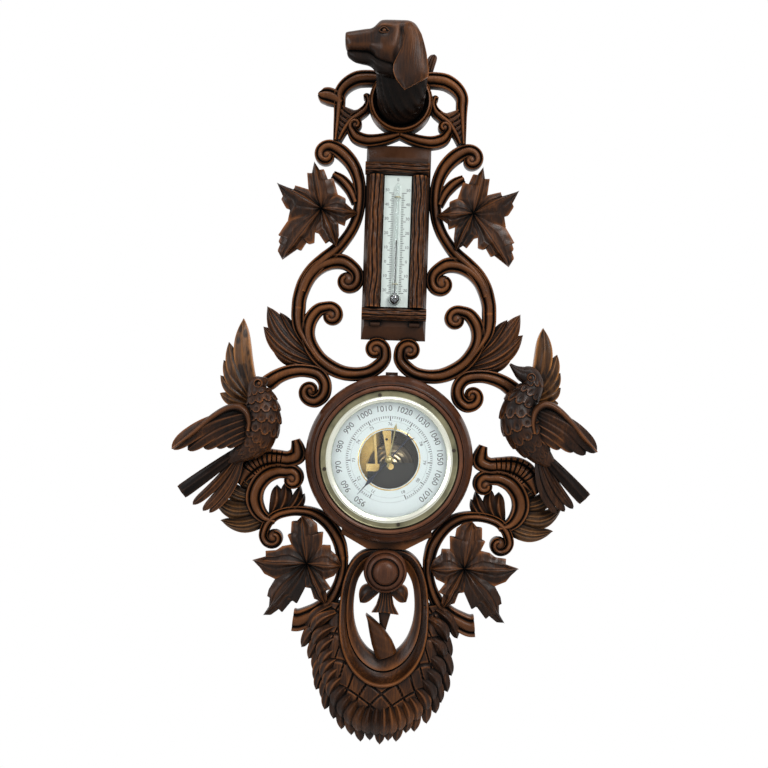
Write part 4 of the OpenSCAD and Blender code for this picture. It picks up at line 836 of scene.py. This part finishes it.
for side, body, near, band, tail, raised, eye in (
        ("left", left_body, left_near, left_band, left_tail, left_raised, (-142.3, 77.7)),
        ("right", right_body, right_near, right_band, right_tail, right_raised, (148.5, 93.5))):
    bm = bmesh.new()
    rows = [(*seen(x, y, BIRD_DEPTH), w * shrink(BIRD_DEPTH), lo + 0.6, hi - 1.4)
            for x, y, w, lo, hi in body]
    sweep(bm, smooth(rows, 15), scaled)
    for depth in (47.5, 22.5):
        ball(bm, *eye, depth, EYE_R)
    lid = [(*seen(eye[0] + 4 * math.sin(a), eye[1] + 4 * math.cos(a), BIRD_DEPTH), 2.2, 42, 49.6)
           for a in (math.tau * k / 20 for k in range(21))]
    sweep(bm, lid, ring_outline, loop=True)
    for k, (root, tip, width, bend) in enumerate(near):
        petal(bm, root, tip, width, bend, BIRD_DEPTH, 33 - k, 53.5 - 1.6 * k, 1, 0.06, LONG, sink=0.4,
              crown=0.2)
    sweep(bm, smooth(drawn(band, BIRD_DEPTH, 40, 55.5), 6), ring_outline)
    carve("bird_%s_carving" % side, bm, ["bird_" + side], finishes["walnut"], crisp=50)
    for part, first, last, finish in (("tail_quill", 0, 1, "black_walnut"), ("tail", 1, 4, "dark_walnut")):
        bm = bmesh.new()
        for k in range(first, last):
            root, tip, width, bend, shape = tail[k]
            lo, hi = FRET_T + BACK_STEP * k, 36 - 3 * k
            petal(bm, root, tip, width, bend, BIRD_DEPTH, lo, hi, 1, 0.1, shape, sink=0.3, crown=0.3)
        carve("bird_%s_%s" % (side, part), bm, [], finishes[finish])
    bm = bmesh.new()
    for k, (root, tip, width, bend) in enumerate(raised):
        petal(bm, root, tip, width, bend, FRET_MID, 6 + BACK_STEP * k, 19.8 - k, 1, 0.06, crown=0.22)
    carve("raised_wing_%s_carving" % side, bm, ["raised_wing_" + side], finishes["spotted_walnut"])

# %% [markdown]
# ## Hound's head
# The head looks to the left, so every upright slice of it, from the nose to the poll, is an oval with a
# top, a bottom, a back and a front. A loft through those slices keeps the square muzzle, the stop and the
# flat crown exactly. Small bumps and hollows are added to the skin for the cheek, the brow and the eye.
# The lower jaw is a loft of its own, set back, so that the mouth is a real dark slot.

# %% Hound
HEAD_DEPTH = 70
HEAD_MIDDLE = 71
EYE_APART = 15.4
skull = [(-62.2, 454.2, 449.5, 67, 75), (-61.8, 456.3, 443, 62, 80), (-59.8, 457.4, 438, 59.5, 82.5),
         (-54, 458.5, 436.6, 58.5, 83.5), (-47.5, 459.7, 436.2, 58, 84), (-40, 460.9, 435.7, 57, 85),
         (-35, 461.6, 434.6, 56, 86), (-31.5, 463.5, 431.5, 55, 87), (-28.5, 466.6, 427.6, 54, 88),
         (-25.6, 469.6, 425.4, 53, 89), (-22, 471.1, 423.6, 52, 90), (-14, 471.5, 421, 51.3, 90.7),
         (-4, 471.5, 418, 51, 91), (6, 471.2, 416, 51, 91), (13, 467.5, 414.5, 52, 90),
         (19, 458, 414, 54.5, 87.5), (23, 447, 415, 58, 84), (26, 436, 420, 64, 78)]
jaw = [(-59.8, 437.4, 434.5, 69, 73), (-58.6, 438, 431.5, 67, 75), (-56, 438, 429, 65.5, 76.5),
       (-51, 438, 426, 64, 78), (-44, 437.5, 424.2, 63, 79), (-37, 437, 423, 62, 80),
       (-32, 435, 420.5, 61, 81), (-27, 432, 415, 60, 82), (-16, 427, 411, 58, 84), (0, 424, 409, 58, 84)]
bumps = [(-18, 436, 9, 8, 1.8), (-44, 440, 16, 5, 1.2), (-20.5, 455.8, 5.8, 3.6, -3.4),
         (-18.5, 462, 9, 2, 1.8), (-30, 449, 5, 6, -1.4), (-52, 449, 9, 3, 0.5),
         (-59.5, 444, 2.6, 3, -1.2), (-1.5, 458, 2.4, 7, -3.4), (-3, 443, 2.4, 8, -3.4),
         (-7, 430, 2.8, 7, -3.4)]
near_ear = (
    [(1.5, 469.8), (0.2, 465), (1.3, 457.5), (-0.6, 446), (-6.3, 434), (-9.8, 426), (-10, 419),
     (-6.5, 410.5), (3, 399.5)],
    [(6, 470.6), (10.5, 452), (9, 432), (8, 415), (3, 399.5)],
    [(10, 469.6), (15, 465.6), (19.4, 459.5), (22.5, 450), (25.6, 437.5), (28.6, 420), (28.2, 414),
     (25.5, 412), (3, 399.5)])


def oval_loft(bm, slices, power=2.5, steps=5, count=44):
    rows = smooth(slices, steps)

    def spot(i, j):
        x, top, bottom, back, front = rows[i]
        a = math.tau * j / count
        up = math.copysign(abs(math.sin(a)) ** (2 / power), math.sin(a))
        out = math.copysign(abs(math.cos(a)) ** (2 / power), math.cos(a))
        y = (top + bottom) / 2 + up * (top - bottom) / 2
        swell = sum(h * math.exp(-((x - bx) / rx) ** 2 - ((y - by) / ry) ** 2)
                    for bx, by, rx, ry, h in bumps)
        px, py = seen(x, y, HEAD_DEPTH)
        return world(px, py, (back + front) / 2 + out * ((front - back) / 2 + swell))

    skin(bm, len(rows), count, spot)


bm = bmesh.new()
oval_loft(bm, skull)
for sign in (-1, 1):
    middle = HEAD_MIDDLE + sign * EYE_APART
    ball(bm, -20.8, 461.2, middle, 2.8)
    for shift, rise in ((0, 1), (0.4, -1)):
        lid = [(-26.6, 460.2 + shift, 1.2), (-24, 461.2 + rise * 2.2, 2), (-20.8, 461.6 + rise * 3, 2.2),
               (-17.4, 460.8 + rise * 1.9, 2), (-13.6, 458.8, 1.2)]
        sweep(bm, smooth(drawn(lid, middle, middle - 2.4, middle + 2.8), 5), ring_outline)
carve("hound_head", bm, ["dog_head"], finishes["walnut"])

# %% [markdown]
# The neck rises from the collar as a loft of level rings, and chip cuts slant across it for the coat.
# Each ear is a plate that hangs from the crown, thick in the middle, with combed grooves down its length.

# %% Neck, jaw and ears
neck = [(0, 25.7, 25.7, 7), (0, 25.7, 25.7, 14), (0.2, 25.5, 25.5, 22), (2, 25.4, 25.7, 32),
        (6, 26, 27, 42), (13, 26.6, 27, 52), (23, 26.4, 23, 62), (31, 24, 18, 69)]
bm = bmesh.new()
neck_rows = smooth(neck, 9)
NECK_COUNT = 72


def neck_spot(i, j):
    rise, half_w, half_h, depth = neck_rows[i]
    a = math.tau * j / NECK_COUNT
    chips = 0.06 * max(0, math.sin(a * 16 + depth * 0.5)) ** 2 * min(1, max(0, (depth - 27) / 8))
    r = 1 - chips
    return Vector((r * half_w * math.cos(a), -depth, rise + r * half_h * math.sin(a))) * MM


skin(bm, len(neck_rows), NECK_COUNT, neck_spot)
oval_loft(bm, jaw, power=2.2)
# The jaw is set back under the lips and takes the near-black walnut as painted shade.
carve("hound_neck", bm, [], finishes["black_walnut"])


EAR_DEPTH = 92


def ear_front(t, u):
    swell = math.cos(abs(u) * 1.35) ** 0.6 * (0.35 + 0.65 * math.sin(math.pi * min(1, t * 0.75 + 0.2)))
    comb = 0.16 * math.sin(u * 44 + 4 * noise(Vector((t * 7, u * 3, 1)))) * max(0, 0.8 - t)
    return 88.6 + 7.4 * swell + comb


bm = bmesh.new()
plate(bm, *near_ear, EAR_DEPTH, 87, ear_front, rows=48, cols=26)
plate(bm, *near_ear, EAR_DEPTH, 55, lambda t, u: 2 * HEAD_MIDDLE - ear_front(t, u), rows=48, cols=26)
carve("hound_ears", bm, [], finishes["walnut"])

# %% [markdown]
# ## Game bag
# The bag has an oval mouth with two coves inside a raised rim, a belly with the cut lines of a net, and
# two layers of fluted tufts. The rim goes round in one closed sweep, and the net is cut into the belly by
# lowering the skin along two sets of slanting lines.

# %% Game bag
BAG_DEPTH = 18
NET_STEP = 17.5
NET_SLANT = math.radians(42)
rim_half = [(0, -101.5, 11, 16), (13, -103.5, 14, 16), (23.5, -108.5, 17, 17), (31.5, -118, 17, 19),
            (37, -131, 15.5, 22), (39.8, -147, 15, 25), (40.6, -165, 15.5, 28), (39, -183, 18, 31),
            (34, -200, 21.5, 33), (24.5, -215, 25.5, 34), (12, -224.5, 29, 35), (0, -227.3, 30.5, 35)]
rim_outline = [(1, 0), (1, 0.55), (0.98, 0.8), (0.93, 0.93), (0.85, 0.985), (0.76, 1), (0.68, 0.965),
               (0.62, 0.9), (0.5, 0.76), (0.36, 0.66), (0.2, 0.59), (0.08, 0.56), (0.04, 0.46),
               (-0.01, 0.46), (-0.05, 0.56), (-0.2, 0.54), (-0.45, 0.47), (-0.7, 0.43), (-0.92, 0.4),
               (-1, 0.34), (-1, 0.1), (-1, 0)]
bag_middle = (-1, -178)
SWING = math.radians(112)
TUFT_W = 13


def tuft_reach(a):
    return 84 + 48 * max(0, math.cos(a)) ** 2.4


def net_cut(x, y):
    """How deep the net is cut at a drawn place."""
    near = NET_STEP
    for slant in (-NET_SLANT, NET_SLANT):
        line = (x * math.sin(slant) + (y - bag_middle[1]) * math.cos(slant) + 0.0022 * x * x) / NET_STEP
        near = min(near, abs(line - round(line)) * NET_STEP)
    return math.exp(-(near / 0.85) ** 2)


bm = bmesh.new()
loop = [(*seen(x, y, BAG_DEPTH), w * shrink(BAG_DEPTH), 0, hi) for x, y, w, hi in rim_half]
loop = loop + [(-x, y, w, lo, hi) for x, y, w, lo, hi in reversed(loop[1:-1])] + [loop[0]]
sweep(bm, smooth(loop, 7), rim_outline, loop=True)


def belly_place(a, share):
    """The drawn place at an angle a round the mouth, a share of the way from it to the tufts."""
    near = Vector((47 * math.sin(a), -60 * math.cos(a)))
    far = Vector((math.sin(a), -math.cos(a))) * 0.76 * tuft_reach(a)
    return Vector(bag_middle) + near.lerp(far, share)


def belly_edge(share):
    return [belly_place(-SWING + 2 * SWING * k / 60, share) for k in range(61)]


def belly_front(t, u):
    a = -SWING + 2 * SWING * t
    share = 0.5 - 0.5 * u
    net = net_cut(*belly_place(a, share)) * (share < 0.8) * (share > 0.08)
    corner = min(1, max(0, (abs(a) - 1.3) / 0.6))
    return 13 + (18.5 - 9 * corner) * math.cos((share - 0.3) * 1.35) ** 1.4 - 2.4 * net


plate(bm, belly_edge(1), belly_edge(0.5), belly_edge(0), BAG_DEPTH, 0.4, belly_front, rows=190, cols=22)
carve("game_bag_carving", bm, ["game_bag"], finishes["walnut"])
tips = [(-84, -190), (-88, -206), (-80, -218), (-75, -230), (-73, -241), (-71, -251.5), (-64, -261),
        (-61, -272.6), (-51, -282), (-42, -293.5), (-31, -299), (-20.8, -306), (-10.8, -304), (0, -308.5),
        (9, -304), (17.7, -305), (28, -295), (37, -293.5), (50, -284), (60, -273), (65, -261),
        (72, -249.5), (75.4, -231.5), (73.8, -213), (80.5, -191)]


def tuft(bm, root, tip, turn, lo, hi):
    """A tuft that bends outwards, more the further it is from the middle line."""
    bend = turn * max(-1, min(1, tip[0] / 30))
    petal(bm, root, tip, TUFT_W, bend, BAG_DEPTH, lo, hi, 1, 0.05, TUFT, cols=6, crown=0.2)


bm = bmesh.new()
for k, (x, y) in enumerate(tips):
    root = (x * 0.62, y + 54 - abs(x) * 0.24)
    tuft(bm, root, (x, y), 0.14, 0.6 + BACK_STEP * (k % 3), 24 - 3 * (k % 2))
for one, other in zip(tips, tips[1:]):
    x, y = (one[0] + other[0]) / 2 * 0.9, (one[1] + other[1]) / 2 + 9
    tuft(bm, (x * 0.66, y + 40 - abs(x) * 0.2), (x, y), 0.16, 6, 31.5)
carve("game_bag_tufts", bm, [], finishes["walnut"])

# %% [markdown]
# ## Boss, pendant leaf and horn
# The boss is a turning: rings step up to a dome. Under it hangs a bell of fluted petals with a small leaf
# either side, and a pointed horn with two faint ridges wound across it stands in the mouth of the bag.

# %% Boss, pendant and horn
boss_profile = [(0, 20), (21, 20), (22.8, 21.5), (23.2, 24.5), (22.8, 27.6), (21.6, 29.6), (20.4, 30.4),
                (19.9, 29.8), (19.2, 31.4), (17.8, 33), (16.2, 34), (15, 34.2), (14.2, 33), (13.6, 33.4),
                (13.1, 35.6), (12, 38.2), (9.8, 40.3), (6.6, 41.4), (3.2, 41.9), (0, 42)]
bm = bmesh.new()
turned(bm, 0, -119.5, boss_profile)
carve("boss_turning", bm, ["boss"], finishes["red_walnut"])
bm = bmesh.new()
for sign, tip in ((-1, (-26, -154)), (1, (23.6, -152))):
    petal(bm, (sign * 5, -136), tip, 17, 0.14 * sign, FRET_MID, 7.4, 16.6, flutes=1, cut=0.1, crown=0.25)
bell_left = [(-5, -137), (-6, -147), (-8.6, -156), (-13.2, -163.5)]
bell_middle = [(1.6, -137), (1.3, -150), (0.8, -162)]
bell_right = [(8.2, -137), (8.6, -147), (10.6, -156), (15.8, -165)]


def bell_front(t, u):
    return 17 + 2.4 * t - 3 * u * u - 0.45 * (1 - math.cos(math.tau * 3 * u))


plate(bm, bell_left, bell_middle, bell_right, FRET_MID, 8, bell_front, cols=18)
stem_rows = [(0.8, -156, 13), (0.8, -162, 14), (0.4, -170, 11), (-0.2, -178, 8), (-0.4, -183, 6)]
sweep(bm, smooth(drawn(stem_rows, FRET_MID, 8, 15), 5), ring_outline)
carve("pendant_carving", bm, ["pendant_leaf"], finishes["walnut"])
horn = [(-18.9, -165.2, 1.6), (-15.8, -169, 5.4), (-12.8, -173.4, 9.2), (-7.8, -182, 15.9),
        (-3.4, -190.6, 20.2), (0.2, -198.2, 22.6), (3.2, -205.4, 23.2), (4.6, -209, 21.5)]
bm = bmesh.new()


def horn_outline(t):
    wound = []
    for x, z in ring_outline:
        ridge = sum(0.022 * math.exp(-((t * 9 - x * 1.6 - at) / 0.35) ** 2) for at in (4.4, 7))
        wound.append((x * (1 + ridge), 0.5 + (z - 0.5) * (1 + ridge)))
    return wound


sweep(bm, smooth(drawn(horn, FRET_MID, 8, 24.5), 10), horn_outline)
carve("horn_carving", bm, ["powder_horn"], finishes["walnut"], crisp=80)

# %% [markdown]
# ## Thermometer logs
# Four split logs frame the plate. Bark furrows run along them and wander a little, so each log is a half
# round whose skin is pushed in by wavy grooves.

# %% Logs
BOARD_FRONT = 22.05
LOG_FRONT = 33.6


def log(name, start, end, half, seed, finish):
    """A furrowed half log between two real places (x, y) on the board."""
    start, end = Vector(start), Vector(end)
    run = (end - start).normalized()
    side = Vector((-run.y, run.x))
    rows, columns = 74, 34
    length = (end - start).length

    def spot(i, j):
        t = i / rows
        a = math.pi * min(j, columns - 2) / (columns - 2)
        wander = 1.3 * noise(Vector((t * length / 26, seed, 0)))
        furrow = max(0, math.cos(a * 9 + wander * 2.4 + seed)) ** 3 * 0.13
        knots = 0.06 * noise(Vector((t * length / 7, a * 3, seed)))
        r = 0.94 - furrow + knots
        if j == columns - 1:
            r = 0
        place = start.lerp(end, t) + side * (half * r * math.cos(a))
        rise = r * math.sin(a) ** 0.8 * 1.03
        return world(place.x, place.y, BOARD_FRONT + (LOG_FRONT - BOARD_FRONT) * rise)

    bm = bmesh.new()
    skin(bm, rows + 1, columns, spot)
    carve(name + "_furrowed", bm, [name], finishes[finish], crisp=30)


log("log_left", (-23, 161), (-23, 301), 8.4, 1.3, "walnut")
log("log_right", (23, 161), (23, 301), 8.4, 4.1, "walnut")
log("log_top", (-35.3, 308.5), (32.4, 308.5), 7.4, 7.7, "dark_walnut")
log("log_bottom", (-34.3, 153.5), (34.3, 153.5), 7.4, 9.2, "dark_walnut")

# %% [markdown]
# ## Scales
# The plate and the dial carry printed marks. Each tick is a thin box from `create_cube`, turned round the
# dial or stepped up the plate. The numbers are text objects, made meshes before they are placed. Plain
# numbers stand where such instruments have words.

# %% Ticks and numbers
INK_THICK = 0.06
FONT_FULL = 1.38


def tick(bm, x, y, wide, tall, depth, turn=0.0):
    """A printed stroke at (x, y), turned clockwise round the middle of the dial."""
    made = bmesh.ops.create_cube(bm, size=1)["verts"]
    bmesh.ops.scale(bm, verts=made, vec=(wide * MM, INK_THICK * MM, tall * MM))
    bmesh.ops.translate(bm, verts=made, vec=Vector((x, -depth, y)) * MM)
    bmesh.ops.rotate(bm, verts=made, cent=(0, 0, 0), matrix=Matrix.Rotation(turn, 3, "Y"))
    bmesh.ops.translate(bm, verts=made, vec=(0, 0, -HANG * MM))


def number(bm, value, x, y, tall, depth, turn=0.0):
    """A plain number, upright on the plate or with its foot towards the middle of the dial."""
    words = bpy.data.curves.new("number", "FONT")
    words.body = str(value)
    words.size = tall * FONT_FULL
    words.align_x = "CENTER"
    words.align_y = "CENTER"
    words.extrude = INK_THICK / 2
    words.resolution_u = 3
    holder = bpy.data.objects.new("number", words)
    bpy.context.collection.objects.link(holder)
    bpy.context.view_layer.update()
    flat = bpy.data.meshes.new_from_object(holder)
    bpy.data.objects.remove(holder)
    before = set(bm.verts)
    bm.from_mesh(flat)
    made = [v for v in bm.verts if v not in before]
    upright = Matrix.Rotation(math.pi / 2, 4, "X") @ Matrix.Scale(MM, 4)
    aside = Matrix.Rotation(turn, 4, "Y") @ Matrix.Translation(Vector((x, 0, y)) * MM)
    place = Matrix.Translation(world(0, 0, depth)) @ aside @ upright
    bmesh.ops.transform(bm, verts=made, matrix=place)
    bpy.data.meshes.remove(flat)


PLATE_FRONT = 25.05
SCALE_FOOT = 176
SCALE_STEP = 1.9
bm = bmesh.new()
for k in range(57):
    y = SCALE_FOOT + SCALE_STEP * k
    reach = 5.2 if k % 8 == 0 else 3.8 if k % 4 == 0 else 2.4
    for sign in (-1, 1):
        tick(bm, sign * (4.2 + reach / 2), y, reach, 0.6, PLATE_FRONT)
for k in range(8):
    for sign in (-1, 1):
        number(bm, abs(k * 10 - 20), sign * 11.1, SCALE_FOOT + 8 * SCALE_STEP * k + 3, 3.2, PLATE_FRONT)
number(bm, 0, 0, 296.5, 3.2, PLATE_FRONT)
carve("plate_marks", bm, [], finishes["ink"])

DIAL_FRONT = 36.05
DIAL_START = -155
TICK_STEP = 3.1
CIRCLE_PARTS = 180
bm = bmesh.new()
for k in range(101):
    turn = math.radians(DIAL_START + TICK_STEP * k)
    reach = 4.6 if k % 10 == 0 else 3.6 if k % 5 == 0 else 2.2
    tick(bm, 0, 45.4 - reach / 2, 0.7 if k % 10 else 1, reach, DIAL_FRONT, turn)
for radius in (40.6, 45.6):
    length = math.tau * radius / CIRCLE_PARTS + 0.05
    for k in range(CIRCLE_PARTS):
        tick(bm, 0, radius, length, 0.14, DIAL_FRONT, math.tau * k / CIRCLE_PARTS)
for k in range(11):
    number(bm, 71 + k, 0, 37.2, 3.4, DIAL_FRONT, math.radians(DIAL_START + 10 * TICK_STEP * k))
for k in range(13):
    number(bm, 950 + 10 * k, 0, 53.4, 6.4, DIAL_FRONT, math.radians(-147 + 23.25 * k))
carve("dial_marks", bm, [], finishes["ink"])
opening_edge = [(32.9, 35.6), (33.1, 36.1), (32.6, 36.35), (31.9, 36.2), (31.5, 35.7), (31.5, 35.3),
                (32.9, 35.3), (32.9, 35.6)]
bm = bmesh.new()
turned(bm, 0, 0, opening_edge, 96)
carve("dial_opening_edge", bm, [], finishes["gilt"])

# %% [markdown]
# ## Light, camera and the pale floor
# The camera stands where the photographer did, 1.3 m in front and level with a point above the dial,
# and is rolled a little because the picture leans. The background is full white only to the camera and
# to what mirrors it or lets it through. A quarter of that white and three soft lamps light the carving.

# %% Stage
camera_data = bpy.data.cameras.new("camera")
camera_data.sensor_width = 36
camera_data.lens = 56.24
camera = bpy.data.objects.new("camera", camera_data)
bpy.context.collection.objects.link(camera)
LOOK_X = -8
LOOK_Y = 79.2
ROLL = math.radians(1.9)
stand = Matrix.Translation(world(LOOK_X, LOOK_Y, EYE_D)) @ Matrix.Rotation(math.pi / 2, 4, "X")
camera.matrix_world = stand @ Matrix.Rotation(ROLL, 4, "Z")
bpy.context.scene.camera = camera

world_data = bpy.data.worlds.new("studio")
bpy.context.scene.world = world_data
world_data.use_nodes = True
sky = world_data.node_tree
background = sky.nodes["Background"]
background.inputs["Color"].default_value = (1, 1, 1, 1)
background.inputs["Strength"].default_value = 0.26
path = sky.nodes.new("ShaderNodeLightPath")
white = sky.nodes.new("ShaderNodeBackground")
white.inputs["Color"].default_value = (1, 1, 1, 1)
white.inputs["Strength"].default_value = 1.0
choose = sky.nodes.new("ShaderNodeMixShader")
share = path.outputs["Is Camera Ray"]
for ray in ("Is Glossy Ray", "Is Transmission Ray"):
    either = sky.nodes.new("ShaderNodeMath")
    either.operation = "MAXIMUM"
    sky.links.new(share, either.inputs[0])
    sky.links.new(path.outputs[ray], either.inputs[1])
    share = either.outputs[0]
sky.links.new(share, choose.inputs[0])
sky.links.new(background.outputs[0], choose.inputs[1])
sky.links.new(white.outputs[0], choose.inputs[2])
sky.links.new(choose.outputs[0], sky.nodes["World Output"].inputs["Surface"])


def softbox(name, place, aim, size, power, tint=(1, 1, 1)):
    lamp_data = bpy.data.lights.new(name, "AREA")
    lamp_data.shape = "RECTANGLE"
    lamp_data.size = size[0]
    lamp_data.size_y = size[1]
    lamp_data.energy = power
    lamp_data.color = tint
    lamp = bpy.data.objects.new(name, lamp_data)
    bpy.context.collection.objects.link(lamp)
    lamp.location = place
    lamp.rotation_euler = (Vector(aim) - Vector(place)).to_track_quat("-Z", "Y").to_euler()


softbox("window", (0.9, -1.7, 0.9), (0, 0, -0.35), (0.7, 1.0), 33, (1, 0.99, 0.97))
softbox("fill", (-1.6, -1.5, 0.1), (0, 0, -0.35), (0.5, 1.2), 13, (0.95, 0.97, 1))
softbox("top", (0.0, -0.5, 1.3), (0, 0, -0.2), (1.6, 0.5), 10)

floor_mesh = bpy.data.meshes.new("floor")
bm = bmesh.new()
bmesh.ops.create_circle(bm, cap_ends=True, segments=64, radius=1.4)
bmesh.ops.translate(bm, verts=bm.verts[:], vec=(0, 0, -1.25))
bm.to_mesh(floor_mesh)
bm.free()
floor = bpy.data.objects.new("floor", floor_mesh)
bpy.context.collection.objects.link(floor)
ground = bpy.data.materials.new("floor")
ground.use_nodes = True
ground_shader = ground.node_tree.nodes["Principled BSDF"]
ground_shader.inputs["Base Color"].default_value = (0.9, 0.9, 0.89, 1)
ground_shader.inputs["Roughness"].default_value = 0.9
floor_mesh.materials.append(ground)
bpy.context.scene.view_settings.view_transform = "Standard"
